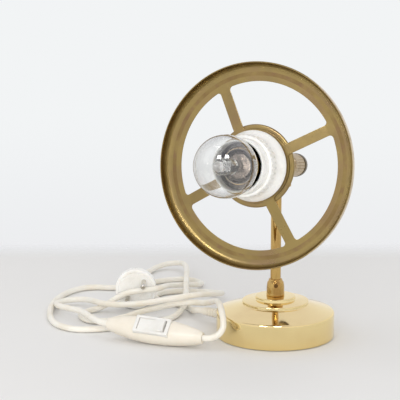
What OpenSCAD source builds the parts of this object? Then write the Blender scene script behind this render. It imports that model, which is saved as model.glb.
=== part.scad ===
// Table lamp: stepped brass foot, swivel stem, tilting spoked-wheel head with a clear
// round bulb, a fluted knob behind the head, and a cream cord with switch and plug.
// Millimetres. Z is up, the foot stands on z = 0 and the head faces -Y.

/* [Foot] */
// Outer diameter of the brass foot
base_d = 91; // [88:0.5:92]
// Height of the foot up to its flat top
base_h = 31.5; // [31:0.1:32.5]
// Thickness of the spun brass cover
cover_t = 1; // [0.8:0.1:1.2]
// Thickness of the felt pad
felt_t = 1.2; // [1:0.1:1.6]

/* [Stem] */
// Outer diameter of the stem tube
stem_d = 8; // [7.8:0.1:8.4]
// Wall thickness of the stem tube
stem_wall = 0.8; // [0.6:0.1:0.9]
// Height of the tilt axis above the table
pivot_h = 132.7; // [130:0.1:140]
// Upward tilt of the head in degrees
head_tilt = 8; // [0:1:12]

/* [Wheel head] */
// Outer diameter of the wheel over its turned flange
wheel_d = 152; // [146:0.2:160]
// Width of the flat outer ring from inner edge to flange
ring_w = 14; // [12:0.1:16]
// How far the flange stands forward of the ring face
flange_h = 7.5; // [5:0.1:10]
// Sheet thickness of the wheel and of the cup behind it
sheet_t = 1; // [0.8:0.1:1.2]
// Width of a spoke
spoke_w = 8; // [6:0.1:9]
// How far the spokes carry the hub forward of the ring
hub_rise = 6.2; // [5:0.1:7]
// Outer diameter of the hub ring
hub_d = 54.4; // [53:0.1:55]
// Rim diameter of the cup behind the hub
cup_d = 61; // [60:0.2:62]

/* [Holder, bulb and knob] */
// Outer diameter of the threaded skirt of the lamp holder
skirt_d = 40; // [39.6:0.1:40.4]
// Inner diameter of the skirt at its mouth
mouth_d = 36.8; // [35:0.1:37.4]
// Diameter of the shade ring flange
flange_ring_d = 52.2; // [50:0.1:54]
// Diameter of the glass globe
globe_d = 45; // [44:0.5:46]
// Diameter of the fluted knob
knob_d = 18; // [17:0.5:19]

/* [Cord] */
// Outer diameter of the cord
cord_d = 4.8; // [4.4:0.1:4.9]
// Diameter of the round plug
plug_d = 33.6; // [33:0.1:33.7]
// Diameter of a plug pin
pin_d = 4; // [3.8:0.1:4.2]
// Length of a plug pin in front of the face
pin_l = 19; // [18:0.5:19]

/* [Hidden] */
$fn = 64;
gap = 0.05;
seat = 0.3;

// foot
base_r = base_d / 2;
cord_r = cord_d / 2;
rim_z = base_h - 11.5;
step1_r = 25.7;
step2_r = 15.5;
rim_round = 2;
edge_round = 0.8;
weight_r = base_r - 2.5;
thread_r = 5;
tube_bore_r = 3.5;
nut_af = 14;
nut_r = nut_af / 2 / cos(30);
bend_r = 9.3;
core_r = 1.2;
core_y = 1.8;
entry_z = 9;
nipple_z0 = entry_z + bend_r;
nipple_z1 = base_h + 5.8;
recess_r = 14;
recess_z = nipple_z0 + 5;
exit_dir = 171.97;
relief_l = 20;
entry_in = 28;
clamp_x = 34;

// collar and stem
collar_h = 13.1;
stem_r = stem_d / 2;
stem_z0 = nipple_z1 + 0.6 + gap;
fork_z0 = pivot_h - 22.7;
fork_top = pivot_h - 13.7;
ear_x = 7.5;
ear_t = 2.2;
ear_r = 5.5;
block_x = 7;
block_y = 6.5;
block_z = 8;
boss_end = 18.5;
set_dir = [0.426, -0.905];
set_angle = atan2(set_dir[1], set_dir[0]);
set_z = base_h + 8.8;

// head, along its own forward axis from the tilt axis
wheel_z = 38;
hub_z = wheel_z + hub_rise;
ring_corner = 6;
wheel_r = wheel_d / 2;
ring_in = wheel_r - ring_w;
hub_r = hub_d / 2;
hole_r = skirt_d / 2 + 0.5;
spoke_dir = 29;
fillet_r = 2.5;
cup_r = cup_d / 2;
cup_z0 = block_z;
skirt_r = skirt_d / 2;
mouth_z = 75.2;
bore_r = 16;
globe_r = globe_d / 2;
cap_l = 22;
neck_l = 24;
bulb_z = 50;
globe_z = bulb_z + cap_l + neck_l;
burner_z = globe_z - 16;
glass_t = 0.8;
neck_r = 11.6;
cap_r = 12.65;
thread_h = 0.35;
thread_p = 3.6;
knob_r = knob_d / 2;
knob_z1 = -19;
knob_z0 = -45;
stud_r = 3;

// switch and plug
switch_l = 78;
switch_w0 = 4;
switch_w1 = 10;
switch_t1 = 8.3;
switch_at = [-92.3, -24.45, 9.9];
switch_turn = -21.2;
switch_pitch = 2.2;
switch_roll = 45;
rocker_tilt = -7;
rocker_z = 5.2;
plug_r = plug_d / 2;
plug_at = [-111, 73, 16.9];
pin_xy = [6.6, 6.8];
boot_end = 54;
boot_r0 = 5;
boot_r1 = 2.9;

// The pile of cord lies in axes turned from the head by this angle.
pile_turn = 25.2;

// The switch's long axis, and its ends, which the two runs meet.
switch_vec = [cos(switch_turn) * cos(switch_pitch), sin(switch_turn) * cos(switch_pitch),
  -sin(switch_pitch)];
function switch_end(side) = switch_at + side * switch_l / 2 * switch_vec;

// Route of the run from the plug to the right end of the switch.
route_plug = concat([
  [-111, 127, 16.9], [-111, 141, 14.4], [-111, 159, 8.8], [-109, 178, 4.4], [-104, 195, 3],
  [-96.5, 208, 4], [-86, 213.5, 5.6], [-75.5, 209, 7], [-71.5, 196, 8], [-70, 176, 9.6],
  [-69.8, 154, 12.2], [-69.8, 128, 14], [-69.8, 104, 11.6], [-69.8, 84, 9], [-70, 69, 7.5],
  [-73.5, 55, 4.4], [-80, 41, 2.4], [-91, 29, 2.4], [-106, 20, 2.4], [-122, 12.5, 2.4],
  [-137, 7, 2.4], [-151, 5.5, 2.4], [-163, 11, 2.4], [-172.5, 23, 2.4], [-178, 40, 2.4],
  [-180.5, 62, 2.4], [-180.5, 84, 2.4], [-177, 104, 2.4], [-170, 122, 2.4], [-160, 134, 2.4],
  [-148, 138, 2.4], [-136, 136, 2.4], [-124, 138, 2.4], [-112, 145, 2.4], [-100, 155, 2.4],
  [-87, 163.5, 2.4], [-74, 166.5, 2.4], [-63, 161.5, 2.4], [-57, 150, 3], [-60, 136, 5.4],
  [-70, 124, 8.2], [-79, 110, 11.4], [-85, 96, 14.6], [-86.8, 82, 17.6], [-94.2, 68.2, 18.8],
  [-108, 64.6, 18.2], [-120, 65, 15.2], [-130, 66, 9.4], [-139, 66, 3.9], [-149, 60, 2.4],
  [-154, 46, 2.4], [-147, 32, 2.4], [-132, 28, 3], [-118, 34, 4.6], [-105, 43, 6.6],
  [-90, 50, 8.4], [-76, 55, 10], [-63, 53, 11.4], [-55, 42, 14], [-50.5, 30, 17.6],
  [-47.6, 19, 21.4], [-45.8, 8, 24.6], [-44.6, -2, 26.8], [-43.4, -12, 27.6],
  [-42.3, -20.5, 26.6], [-41.3, -27.2, 23.6], [-40.6, -32.2, 19.4], [-41.2, -35.9, 14.8],
  [-44.6, -38.6, 11], [-50, -39.8, 8.9]
], [switch_end(1)]);

// Route of the run from the foot to the left end of the switch.
exit_pile = exit_dir - pile_turn;
relief_at = [(base_r + relief_l) * cos(exit_pile), (base_r + relief_l) * sin(exit_pile), entry_z];
route_foot = concat([relief_at], [
  [-60, 42, 8], [-63.5, 53, 5], [-66, 66, 2.8], [-72, 77, 2.4], [-84, 86, 2.4], [-93, 95, 2.4],
  [-96, 107, 2.4], [-90, 119, 2.4], [-77, 124, 2.4], [-62, 123, 2.4], [-49, 118, 3],
  [-41, 106, 5.4], [-40, 91, 9], [-46, 76, 12.8], [-57, 63, 15.6], [-72, 54, 16],
  [-88, 49, 14.4], [-106, 46, 12.4], [-123, 49, 10.6], [-136, 57, 9.4], [-144, 67, 8.4],
  [-149.5, 78.5, 6.6], [-158.5, 87, 5], [-169.5, 85.5, 4.4], [-176, 74.5, 5], [-173, 60, 6.6],
  [-164, 46.5, 8.4], [-154, 33, 9.8], [-147, 19, 10.6], [-141, 6, 11.2], [-136, -3.6, 11.4]
], [switch_end(-1)]);

c_brass = [0.80, 0.66, 0.40];
c_satin = [0.66, 0.57, 0.38];
c_steel = [0.62, 0.62, 0.64];
c_iron = [0.20, 0.20, 0.21];
c_white = [0.93, 0.92, 0.89];
c_cream = [0.93, 0.90, 0.83];
c_glass = [0.85, 0.90, 0.92, 0.35];
c_black = [0.07, 0.07, 0.08];
c_ceramic = [0.90, 0.88, 0.82];
c_copper = [0.45, 0.32, 0.22];
c_felt = [0.16, 0.20, 0.17];

function arc(cx, cy, r, a0, a1, n) =
  [for (i = [0:n]) [cx + r * cos(a0 + (a1 - a0) * i / n), cy + r * sin(a0 + (a1 - a0) * i / n)]];
function unit(v) = v / norm(v);
function along(p, i) =
  i == 0 ? unit(p[1] - p[0]) :
  i == len(p) - 1 ? unit(p[i] - p[i - 1]) :
  unit(unit(p[i + 1] - p[i]) + unit(p[i] - p[i - 1]));
function across(n, t) = unit(n - (n * t) * t);
function frames(p, d, i, n) =
  i == len(p) ? [] :
  let (t = i == 0 ? unit(d[0]) : i == len(p) - 1 ? unit(d[1]) : along(p, i), m = across(n, t))
  concat([[m, cross(t, m)]], frames(p, d, i + 1, m));
function tube_rings(p, d, r) =
  let (f = frames(p, d, 0, [0, 0, 1]))
  [for (i = [0:len(p) - 1])
    [for (k = [0:7]) p[i] + r * (cos(45 * k) * f[i][0] + sin(45 * k) * f[i][1])]];

// Closed skin over a list of rings that all have the same number of points.
module skin(rings) {
  n = len(rings);
  m = len(rings[0]);
  sides = [for (i = [0:n - 2], k = [0:m - 1])
    [i * m + k, (i + 1) * m + k, (i + 1) * m + (k + 1) % m, i * m + (k + 1) % m]];
  start = [for (k = [0:m - 1]) k];
  end = [for (k = [m - 1:-1:0]) (n - 1) * m + k];
  polyhedron(
    points = [for (ring = rings) for (q = ring) q],
    faces = concat(sides, [start], [end]),
    convexity = 6
  );
}

module tube(p, d, r) {
  skin(tube_rings(p, d, r));
}

module pile() {
  rotate([0, 0, pile_turn]) children();
}

module head() {
  translate([0, 0, pivot_h]) rotate([90 - head_tilt, 0, 0]) children();
}

module exit_frame() {
  rotate([0, 0, exit_dir]) children();
}

module ring_cut(r, z0, z1) {
  translate([0, 0, z0]) cylinder(r = r, h = z1 - z0);
}

module hex_nut(z0, h) {
  difference() {
    translate([0, 0, z0]) cylinder(r = nut_r, h = h, $fn = 6);
    ring_cut(thread_r + gap, z0 - 1, z0 + h + 1);
  }
}

module x_cylinder(x0, x1, r) {
  translate([x0, 0, 0]) rotate([0, 90, 0]) cylinder(r = r, h = x1 - x0);
}

// Foot

module base_cover() {
  t = cover_t;
  outer = concat(
    [[base_r, 0.4]],
    arc(base_r - rim_round, rim_z - rim_round, rim_round, 0, 72, 6),
    [[step1_r + 0.4, rim_z + 5.5], [step1_r, rim_z + 5.7]],
    arc(step1_r - edge_round, base_h - 3.5 - edge_round, edge_round, 0, 88, 4),
    [[step2_r + 0.2, base_h - 2.7], [step2_r, base_h - 2.5]],
    arc(step2_r - edge_round, base_h - edge_round, edge_round, 0, 90, 4),
    [[thread_r + gap, base_h]]
  );
  inner = [
    [thread_r + gap, base_h - t], [step2_r - t, base_h - t],
    [step2_r - t, base_h - 2.6 - t], [step1_r - t, base_h - 3.5 - t],
    [step1_r - t, rim_z + 5.9 - t], [base_r - rim_round, rim_z + 0.1 - t],
    [base_r - t, rim_z - rim_round], [base_r - t, 0.4]
  ];
  color(c_brass) difference() {
    rotate_extrude($fn = 96) polygon(concat(outer, inner));
    exit_frame() translate([0, 0, entry_z]) x_cylinder(base_r - 6, base_r + 4, 4.6);
  }
}

module base_weight() {
  top = base_h - cover_t;
  color(c_iron) difference() {
    rotate_extrude($fn = 96) polygon([
      [thread_r + 0.2, felt_t], [weight_r, felt_t], [weight_r, rim_z - 4.5],
      [weight_r - 1, rim_z - 3.5], [step1_r - 2, rim_z + 1.5], [step1_r - 2, base_h - 5.4],
      [recess_r + 0.2, base_h - 5.4], [step2_r - cover_t - 0.3, base_h - 4.9],
      [step2_r - cover_t - 0.3, top], [thread_r + 0.2, top]
    ]);
    ring_cut(recess_r, -1, recess_z);
    exit_frame() {
      slot_w = cord_d + 1.7;
      translate([recess_r - 4, -slot_w / 2, -1])
        cube([base_r, slot_w, entry_z + cord_r + 0.1 + 1]);
      translate([clamp_x - 4.2, -9.2, -1]) cube([8.4, 18.4, entry_z - cord_r - 0.1 + 1]);
      for (s = [-1, 1]) translate([clamp_x, s * 6.2, 0]) cylinder(r = 1.55, h = 14, $fn = 32);
      translate([0, 0, entry_z]) x_cylinder(base_r - 6.5, base_r + 1, 6.4);
    }
  }
}

module base_felt() {
  color(c_felt) cylinder(r = base_r - cover_t - 0.7, h = felt_t, $fn = 96);
}

module base_nipple() {
  color(c_brass) difference() {
    ring_cut(thread_r, nipple_z0, nipple_z1);
    ring_cut(tube_bore_r, nipple_z0 - 1, nipple_z1 + 1);
  }
}

module base_locknut() {
  color(c_brass) hex_nut(recess_z - 4.8, 3.5);
}

module base_washer() {
  color(c_steel) difference() {
    ring_cut(10, recess_z - 1.3, recess_z);
    ring_cut(thread_r + 0.3, recess_z - 2, recess_z + 1);
  }
}

module bell_collar() {
  z = base_h;
  color(c_brass) difference() {
    rotate_extrude() polygon(concat(
      [[0, z], [6.7, z], [6.9, z + 0.3], [6.9, z + 3.2], [6.8, z + 5.6], [6.6, z + 8]],
      arc(4.9, z + 9.7, 1.6, 10, 55, 4),
      [[5.3, z + 12]],
      arc(4.75, z + collar_h - 0.5, 0.5, 0, 90, 4),
      [[0, z + collar_h]]
    ));
    ring_cut(thread_r + gap, z - 1, nipple_z1);
    ring_cut(tube_bore_r + 0.1, z - 1, z + collar_h);
    ring_cut(stem_r + gap, nipple_z1 + 0.6, z + collar_h + 1);
    rotate([0, 0, set_angle]) translate([0, 0, set_z]) x_cylinder(0, 9, 1.55, $fn = 32);
  }
}

module collar_set_screw() {
  color(c_steel) rotate([0, 0, set_angle]) translate([0, 0, set_z]) difference() {
    x_cylinder(stem_r + gap, 6.2, 1.5, $fn = 32);
    translate([5.6, -0.25, -2]) cube([2, 0.5, 4]);
  }
}

module cord_relief() {
  color(c_cream) exit_frame() translate([0, 0, entry_z]) difference() {
    rotate([0, 90, 0]) rotate_extrude() polygon([
      [0, base_r - 3.2], [5.6, base_r - 3.2], [5.6, base_r - 1.9], [4.5, base_r - 1.9],
      [4.5, base_r + 0.4], [5.4, base_r + 0.4], [5.2, base_r + 2.2], [4.3, base_r + 3],
      [3.1, base_r + relief_l], [0, base_r + relief_l]
    ]);
    x_cylinder(base_r - 8, base_r + relief_l + 1, cord_r + gap);
  }
}

module cord_tail() {
  color(c_cream) exit_frame() translate([0, 0, entry_z])
    x_cylinder(entry_in, base_r + relief_l, cord_r);
}

module cord_clamp() {
  z1 = entry_z - cord_r - 0.1;
  color(c_steel) exit_frame() difference() {
    translate([clamp_x - 4, -9, z1 - 1.9]) cube([8, 18, 1.9]);
    for (s = [-1, 1]) translate([clamp_x, s * 6.2, 0]) cylinder(r = 1.6, h = 12, $fn = 32);
  }
}

module clamp_screws() {
  z1 = entry_z - cord_r - 0.1;
  color(c_steel) exit_frame() for (s = [-1, 1]) translate([clamp_x, s * 6.2, 0]) {
    ring_cut(1.5, z1 - 1.9, 13);
    difference() {
      ring_cut(2.6, z1 - 3.6, z1 - 1.9);
      translate([-3, -0.4, z1 - 4]) cube([6, 0.8, 1.1]);
    }
  }
}

module foot_cores() {
  color(c_copper) exit_frame() for (s = [-1, 1]) {
    translate([0, s * core_y, entry_z]) x_cylinder(bend_r, entry_in, core_r, $fn = 24);
    translate([bend_r, s * core_y, nipple_z0]) rotate([90, 0, 0]) rotate([0, 0, 180])
      rotate_extrude(angle = 90, $fn = 48) translate([bend_r, 0]) circle(r = core_r, $fn = 24);
    translate([0, s * core_y, nipple_z0]) cylinder(r = core_r, h = nipple_z1 - nipple_z0, $fn = 24);
  }
}

// Stem

module stem_tube() {
  color(c_brass) difference() {
    ring_cut(stem_r, stem_z0, fork_z0 + 6.5);
    ring_cut(stem_r - stem_wall, stem_z0 - 1, fork_z0 + 8);
  }
}

module stem_fork() {
  w = ear_x + ear_t;
  color(c_brass) difference() {
    union() {
      ring_cut(ear_r, fork_z0, fork_top);
      translate([-w, -ear_r, fork_top - 2.4]) cube([2 * w, 2 * ear_r, 2.4]);
      for (s = [-1, 1]) {
        translate([s * (ear_x + ear_t / 2) - ear_t / 2, -ear_r, fork_top - 2.4])
          cube([ear_t, 2 * ear_r, pivot_h - fork_top + 2.4]);
        translate([s * (ear_x + ear_t / 2) - ear_t / 2, 0, pivot_h]) x_cylinder(0, ear_t, ear_r);
      }
    }
    ring_cut(stem_r + gap, fork_z0 - 1, fork_z0 + 6.5);
    ring_cut(tube_bore_r - 0.2, fork_z0, fork_top + 1);
    translate([0, 0, pivot_h]) x_cylinder(-w - 1, w + 1, 2 + gap);
  }
}

module stem_cores() {
  color(c_copper) exit_frame() for (s = [-1, 1]) translate([0, s * core_y, nipple_z1 + 0.7])
    cylinder(r = core_r, h = fork_top - nipple_z1 - 0.9, $fn = 24);
}

// Hinge and knob

module pivot_block() {
  color(c_brass) head() difference() {
    union() {
      translate([-block_x, -block_y, -block_z]) cube([2 * block_x, 2 * block_y, 2 * block_z]);
      ring_cut(block_y, -boss_end, -block_z);
    }
    ring_cut(thread_r + gap, 0, block_z + 1);
    ring_cut(tube_bore_r - 0.2, -4.6, 1);
    translate([0, 0, -1.2]) rotate([90, 0, 0]) cylinder(r = tube_bore_r - 0.2, h = block_y + 1);
    ring_cut(stud_r + gap, -boss_end - 1, -10);
    x_cylinder(-block_x - 1, block_x + 1, 2 + gap);
  }
}

module pivot_screws() {
  w = ear_x + ear_t;
  color(c_brass) head() for (s = [0, 180]) rotate([0, s, 0]) difference() {
    union() {
      x_cylinder(thread_r + seat, w, 2);
      x_cylinder(w, w + 1.6, 3.4);
    }
    translate([w + 0.9, -4, -0.4]) cube([2, 8, 0.8]);
  }
}

module friction_washers() {
  color(c_steel) head() for (s = [0, 180]) rotate([0, s, 0]) difference() {
    x_cylinder(block_x + gap, ear_x - gap, ear_r);
    x_cylinder(block_x - 1, ear_x + 1, 2.1);
  }
}

module knob_stud() {
  color(c_steel) head() ring_cut(stud_r, -35, -10);
}

module knob_washer() {
  color(c_brass) head() difference() {
    ring_cut(6.4, knob_z1 + gap, -boss_end - gap);
    ring_cut(stud_r + 0.2, knob_z1 - 1, -boss_end + 1);
  }
}

module fluted_knob() {
  n_flutes = 22;
  dome = 3;
  color(c_satin) head() difference() {
    rotate_extrude() polygon(concat(
      [[0, knob_z1], [knob_r - 1, knob_z1], [knob_r - 0.2, knob_z1 - 0.6],
       [knob_r, knob_z1 - 1.4], [knob_r, knob_z0 + 8.4], [knob_r + 0.3, knob_z0 + 7.4],
       [knob_r + 0.3, knob_z0 + 5.5]],
      [for (i = [0:6]) [knob_r * cos(13 * i), knob_z0 + dome - dome * sin(15 * i)]],
      [[0, knob_z0]]
    ));
    for (i = [0:n_flutes - 1]) rotate([0, 0, i * 360 / n_flutes])
      translate([knob_r + 0.35, 0, knob_z0 + 8.6]) cylinder(r = 0.8, h = 18, $fn = 24);
    ring_cut(stud_r + gap, -35.5, knob_z1 + 1);
  }
}

module head_nipple() {
  color(c_brass) head() difference() {
    ring_cut(thread_r, 0.2, 19);
    ring_cut(tube_bore_r, 0, 20);
  }
}

module head_locknut() {
  color(c_brass) head() hex_nut(cup_z0 + sheet_t, 3);
}

module head_cores() {
  color(c_copper) head() for (s = [-1, 1])
    translate([s * core_y, 0, 1]) cylinder(r = core_r, h = 26, $fn = 24);
}

// Cup and wheel

module rear_cup() {
  t = sheet_t;
  z1 = hub_z - sheet_t - gap;
  outer = concat(
    [[thread_r + 0.1, cup_z0], [9, cup_z0], [12.5, cup_z0 + 1.4], [16.5, cup_z0 + 5],
     [21, cup_z0 + 12.6], [25.2, cup_z0 + 21.4], [28.4, cup_z0 + 28.6], [cup_r - 0.9, z1 - 4.2]],
    arc(cup_r - 1.5, z1 - 1.5, 1.5, 0, 90, 5)
  );
  inner = [
    [hub_r - 2, z1], [hub_r - 2, z1 - t], [cup_r - 2, z1 - t],
    [cup_r - 0.9 - 0.92 * t, z1 - 4.2 + 0.35 * t],
    [28.4 - 0.9 * t, cup_z0 + 28.6 + 0.43 * t], [25.2 - 0.9 * t, cup_z0 + 21.4 + 0.42 * t],
    [21 - 0.88 * t, cup_z0 + 12.6 + 0.47 * t], [16.5 - 0.77 * t, cup_z0 + 5 + 0.63 * t],
    [12.5 - 0.52 * t, cup_z0 + 1.4 + 0.84 * t], [9, cup_z0 + t], [thread_r + 0.1, cup_z0 + t]
  ];
  color(c_satin) head() rotate_extrude($fn = 96) polygon(concat(outer, inner));
}

module fillet_ring(r_in, w) {
  cx = sqrt(pow(r_in - fillet_r, 2) - pow(w + fillet_r, 2));
  cy = w + fillet_r;
  k = r_in / (r_in - fillet_r);
  corner = [sqrt(r_in * r_in - w * w), w];
  difference() {
    polygon([corner * 1.03, [cx, w - 0.5], [cx, w], [cx, cy], [cx * k, cy * k] * 1.03]);
    translate([cx, cy]) circle(r = fillet_r, $fn = 40);
  }
}

module fillet_hub(r_hub, w) {
  cx = sqrt(pow(r_hub + fillet_r, 2) - pow(w + fillet_r, 2));
  cy = w + fillet_r;
  k = r_hub / (r_hub + fillet_r);
  corner = [sqrt(r_hub * r_hub - w * w), w];
  difference() {
    polygon([corner * 0.97, [cx, w - 0.5], [cx, w], [cx, cy], [cx * k, cy * k] * 0.97]);
    translate([cx, cy]) circle(r = fillet_r, $fn = 40);
  }
}

module spoke_shape() {
  w = spoke_w / 2;
  translate([hub_r - 2, -w]) square([ring_in - hub_r + 3, spoke_w]);
  for (m = [0, 1]) mirror([0, m]) {
    fillet_ring(ring_in, w);
    fillet_hub(hub_r, w);
  }
}

module spoked_wheel() {
  back = wheel_z - sheet_t;
  flat_r = cup_r + 0.5;
  cx = wheel_r - ring_corner;
  color(c_satin) head() difference() {
    rotate_extrude($fn = 128) polygon(concat(
      [[hole_r, hub_z - sheet_t], [flat_r, hub_z - sheet_t], [ring_in + 0.6, back], [cx, back]],
      arc(cx, back + ring_corner, ring_corner, -80, 0, 7),
      [[wheel_r, wheel_z + flange_h], [wheel_r - sheet_t, wheel_z + flange_h]],
      arc(cx, back + ring_corner, ring_corner - sheet_t, 0, -80, 7),
      [[cx, wheel_z], [ring_in + 0.6, wheel_z], [flat_r, hub_z], [hole_r, hub_z]]
    ));
    translate([0, 0, back - 1]) linear_extrude(height = hub_rise + sheet_t + 2) difference() {
      circle(r = ring_in, $fn = 128);
      circle(r = hub_r, $fn = 96);
      for (a = [0:90:270]) rotate(spoke_dir + a) spoke_shape();
    }
  }
}

// Lamp holder

module holder_body() {
  b = cup_z0 + sheet_t + 3.2;
  shoulder = hub_z - sheet_t;
  color(c_white) head() rotate_extrude($fn = 96) polygon([
    [thread_r + gap, b], [9, b], [12.5, b + 2.4], [16.5, b + 8], [18, b + 13],
    [18, shoulder - 4.4], [22.8, shoulder - 3.4], [22.8, shoulder - gap],
    [skirt_r, shoulder - gap], [skirt_r, mouth_z - 0.5], [skirt_r - 0.5, mouth_z],
    [mouth_d / 2 + 0.4, mouth_z], [mouth_d / 2, mouth_z - 0.4], [mouth_d / 2, mouth_z - 8],
    [bore_r, mouth_z - 12], [bore_r, bulb_z - 20], [14, bulb_z - 23], [14, b + 8],
    [11, b + 6.8], [thread_r + gap, b + 6.8]
  ]);
}

module holder_insert() {
  z0 = bulb_z - 19;
  color(c_ceramic) head() difference() {
    ring_cut(bore_r - 0.1, z0, bulb_z - 7);
    ring_cut(2.1, z0 - 1, bulb_z - 6);
    for (s = [-1, 1]) translate([s * 9, 0, 0]) ring_cut(1.55, z0 - 1, z0 + 6);
    for (s = [-1, 1]) translate([s * core_y, 0, 0]) ring_cut(core_r + 0.1, z0 - 1, z0 + 1);
  }
}

module holder_screws() {
  z0 = bulb_z - 20.2;
  color(c_brass) head() for (s = [-1, 1]) translate([s * 9, 0, 0]) {
    ring_cut(1.5, z0, z0 + 6.7);
    difference() {
      ring_cut(2.6, z0 - 1.8, z0);
      translate([-3, -0.4, z0 - 2.3]) cube([6, 0.8, 1.2]);
    }
  }
}

function thread_wave(z) = thread_h * cos(360 * (z - bulb_z - 1) / thread_p);

module thread_shell() {
  z0 = bulb_z - 7;
  z = [for (i = [0:20]) bulb_z + 1 + i * 0.9];
  color(c_brass) head() rotate_extrude($fn = 72) polygon(concat(
    [[6, z0], [13.7, z0], [13.7, bulb_z]],
    [for (v = z) [cap_r + 0.65 + thread_wave(v), v]],
    [[14.1, bulb_z + 19.6], [13.6, bulb_z + 19.6]],
    [for (i = [20:-1:0]) [cap_r + 0.25 + thread_wave(z[i]), z[i]]],
    [[13.2, bulb_z], [13.2, z0 + 0.5], [6, z0 + 0.5]]
  ));
}

module centre_contact() {
  z1 = bulb_z - 6.2;
  color(c_brass) head() {
    ring_cut(2, z1 - 5.8, z1);
    translate([-4.5, -2.2, z1]) cube([9, 4.4, 0.6]);
  }
}

module shade_ring() {
  n_ribs = 36;
  length = 21;
  collar_r = skirt_r + 2.3;
  z0 = hub_z + gap;
  flange_r = flange_ring_d / 2;
  color(c_white) head() difference() {
    union() {
      rotate_extrude($fn = 96) polygon([
        [0, z0], [flange_r - 1.6, z0], [flange_r - 0.4, z0 + 1.2], [flange_r, z0 + 2.2],
        [flange_r - 0.1, z0 + 3], [flange_r - 1.1, z0 + 5.6], [collar_r + 0.8, z0 + 9],
        [collar_r, z0 + 12.4], [collar_r - 0.2, z0 + length - 1.4],
        [collar_r - 1.1, z0 + length], [0, z0 + length]
      ]);
      for (i = [0:n_ribs - 1]) rotate([0, 0, i * 360 / n_ribs])
        translate([collar_r - 0.7, -0.7, z0 + 12.6]) cube([1, 1.4, 7]);
    }
    ring_cut(skirt_r + gap, z0 - 1, z0 + length + 1);
  }
}

// Bulb

function neck_tangent(r, n) = atan2(n, neck_l) + acos(r / norm([n, neck_l]));

module bulb_globe() {
  ro = globe_r;
  ri = globe_r - glass_t;
  ao = neck_tangent(ro, neck_r);
  ai = neck_tangent(ri, neck_r - glass_t);
  z_neck = bulb_z + cap_l;
  color(c_glass) head() rotate_extrude($fn = 96) polygon(concat(
    [[neck_r, z_neck - 9], [neck_r, z_neck]],
    [for (i = [0:24]) let (a = ao + (180 - ao) * i / 24) [ro * sin(a), globe_z - ro * cos(a)]],
    [for (i = [24:-1:0]) let (a = ai + (180 - ai) * i / 24) [ri * sin(a), globe_z - ri * cos(a)]],
    [[neck_r - glass_t, z_neck], [neck_r - glass_t, z_neck - 9]]
  ));
}

module bulb_cap() {
  z1 = bulb_z + cap_l - 0.2;
  z = [for (i = [0:20]) bulb_z + 1 + i * 0.9];
  color(c_steel) head() rotate_extrude($fn = 72) polygon(concat(
    [[9.5, bulb_z], [12.2, bulb_z]],
    [for (v = z) [cap_r + thread_wave(v), v]],
    [[13.2, z1 - 1.4], [13.2, z1], [12.9, z1], [12.7, z1 - 1.4]],
    [for (i = [20:-1:0]) [cap_r - 0.35 + thread_wave(z[i]), z[i]]],
    [[11.9, bulb_z + 0.4], [9.5, bulb_z + 0.4]]
  ));
}

module bulb_insulator() {
  z1 = bulb_z - gap;
  color(c_black) head() rotate_extrude() polygon([
    [3, bulb_z - 4], [5.6, bulb_z - 4], [11.6, z1], [9.4, z1], [9.4, bulb_z + 1], [3, bulb_z + 1]
  ]);
}

module bulb_contact() {
  z1 = bulb_z - 4 - gap;
  color(c_steel) head() {
    ring_cut(4.8, z1 - 1.45, z1);
    ring_cut(2.9, z1, bulb_z - 1);
  }
}

module bulb_capsule() {
  z = burner_z;
  color(c_glass) head() difference() {
    rotate_extrude($fn = 48) polygon(concat(
      [[0, z], [3.5, z], [6, z + 3], [6, z + 22]],
      arc(0, z + 22, 6, 10, 78, 6),
      [[0.9, z + 29.5], [0.5, z + 33], [0, z + 33.4]]
    ));
    rotate_extrude($fn = 48) polygon(concat(
      [[0, z + 3.4], [3, z + 3.4], [5, z + 5], [5, z + 22]], arc(0, z + 22, 5, 10, 90, 6)
    ));
    for (s = [-1, 1]) translate([s * 2.6, 0, 0]) ring_cut(0.62, z - 1, z + 4);
  }
}

module bulb_wires() {
  color(c_steel) head() {
    for (s = [-1, 1]) translate([s * 2.6, 0, 0]) ring_cut(0.55, bulb_z + 10, burner_z + 3.2);
    translate([0, 0, bulb_z + 13])
      cylinder(r1 = neck_r - glass_t - seat, r2 = 3.6, h = 5, $fn = 48);
  }
}

module bulb_filament() {
  color(c_steel) head() {
    for (s = [-1, 1]) translate([s * 2.6, 0, 0]) ring_cut(0.3, burner_z + 3.25, globe_z - 1);
    translate([0, 0, globe_z - 0.4]) x_cylinder(-3.4, 3.4, 0.8, $fn = 24);
  }
}

// Cord runs

function exit_vec() = [cos(exit_pile), sin(exit_pile), 0];

module cord_foot_run() {
  color(c_cream) pile() tube(route_foot, [exit_vec(), switch_vec], cord_r);
}

module cord_plug_run() {
  color(c_cream) pile() tube(route_plug, [[0, 1, 0], -switch_vec], cord_r);
}

// Switch

module switch_frame() {
  pile() translate(switch_at) rotate([0, 0, switch_turn]) rotate([0, switch_pitch, 0])
    rotate([switch_roll, 0, 0]) children();
}

function half_ring(x, grow) =
  let (
    c = cos(min(90, abs(x) * 180 / switch_l)),
    w = switch_w0 + (switch_w1 - switch_w0) * pow(c, 0.8) - grow,
    t = switch_w0 + (switch_t1 - switch_w0) * pow(c, 0.6) - grow
  )
  [for (k = [0:12]) let (a = 15 * k)
    [x, w * sign(cos(a)) * pow(abs(cos(a)), 0.8), t * pow(abs(sin(a)), 0.8)]];

module switch_half() {
  half = switch_l / 2;
  step = switch_l / 16;
  difference() {
    skin([for (i = [0:16]) half_ring(-half + step * i, 0)]);
    translate([0, 0, -0.01]) skin([for (i = [-4:4]) half_ring(i * 4.7, 1.8)]);
  }
}

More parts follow.
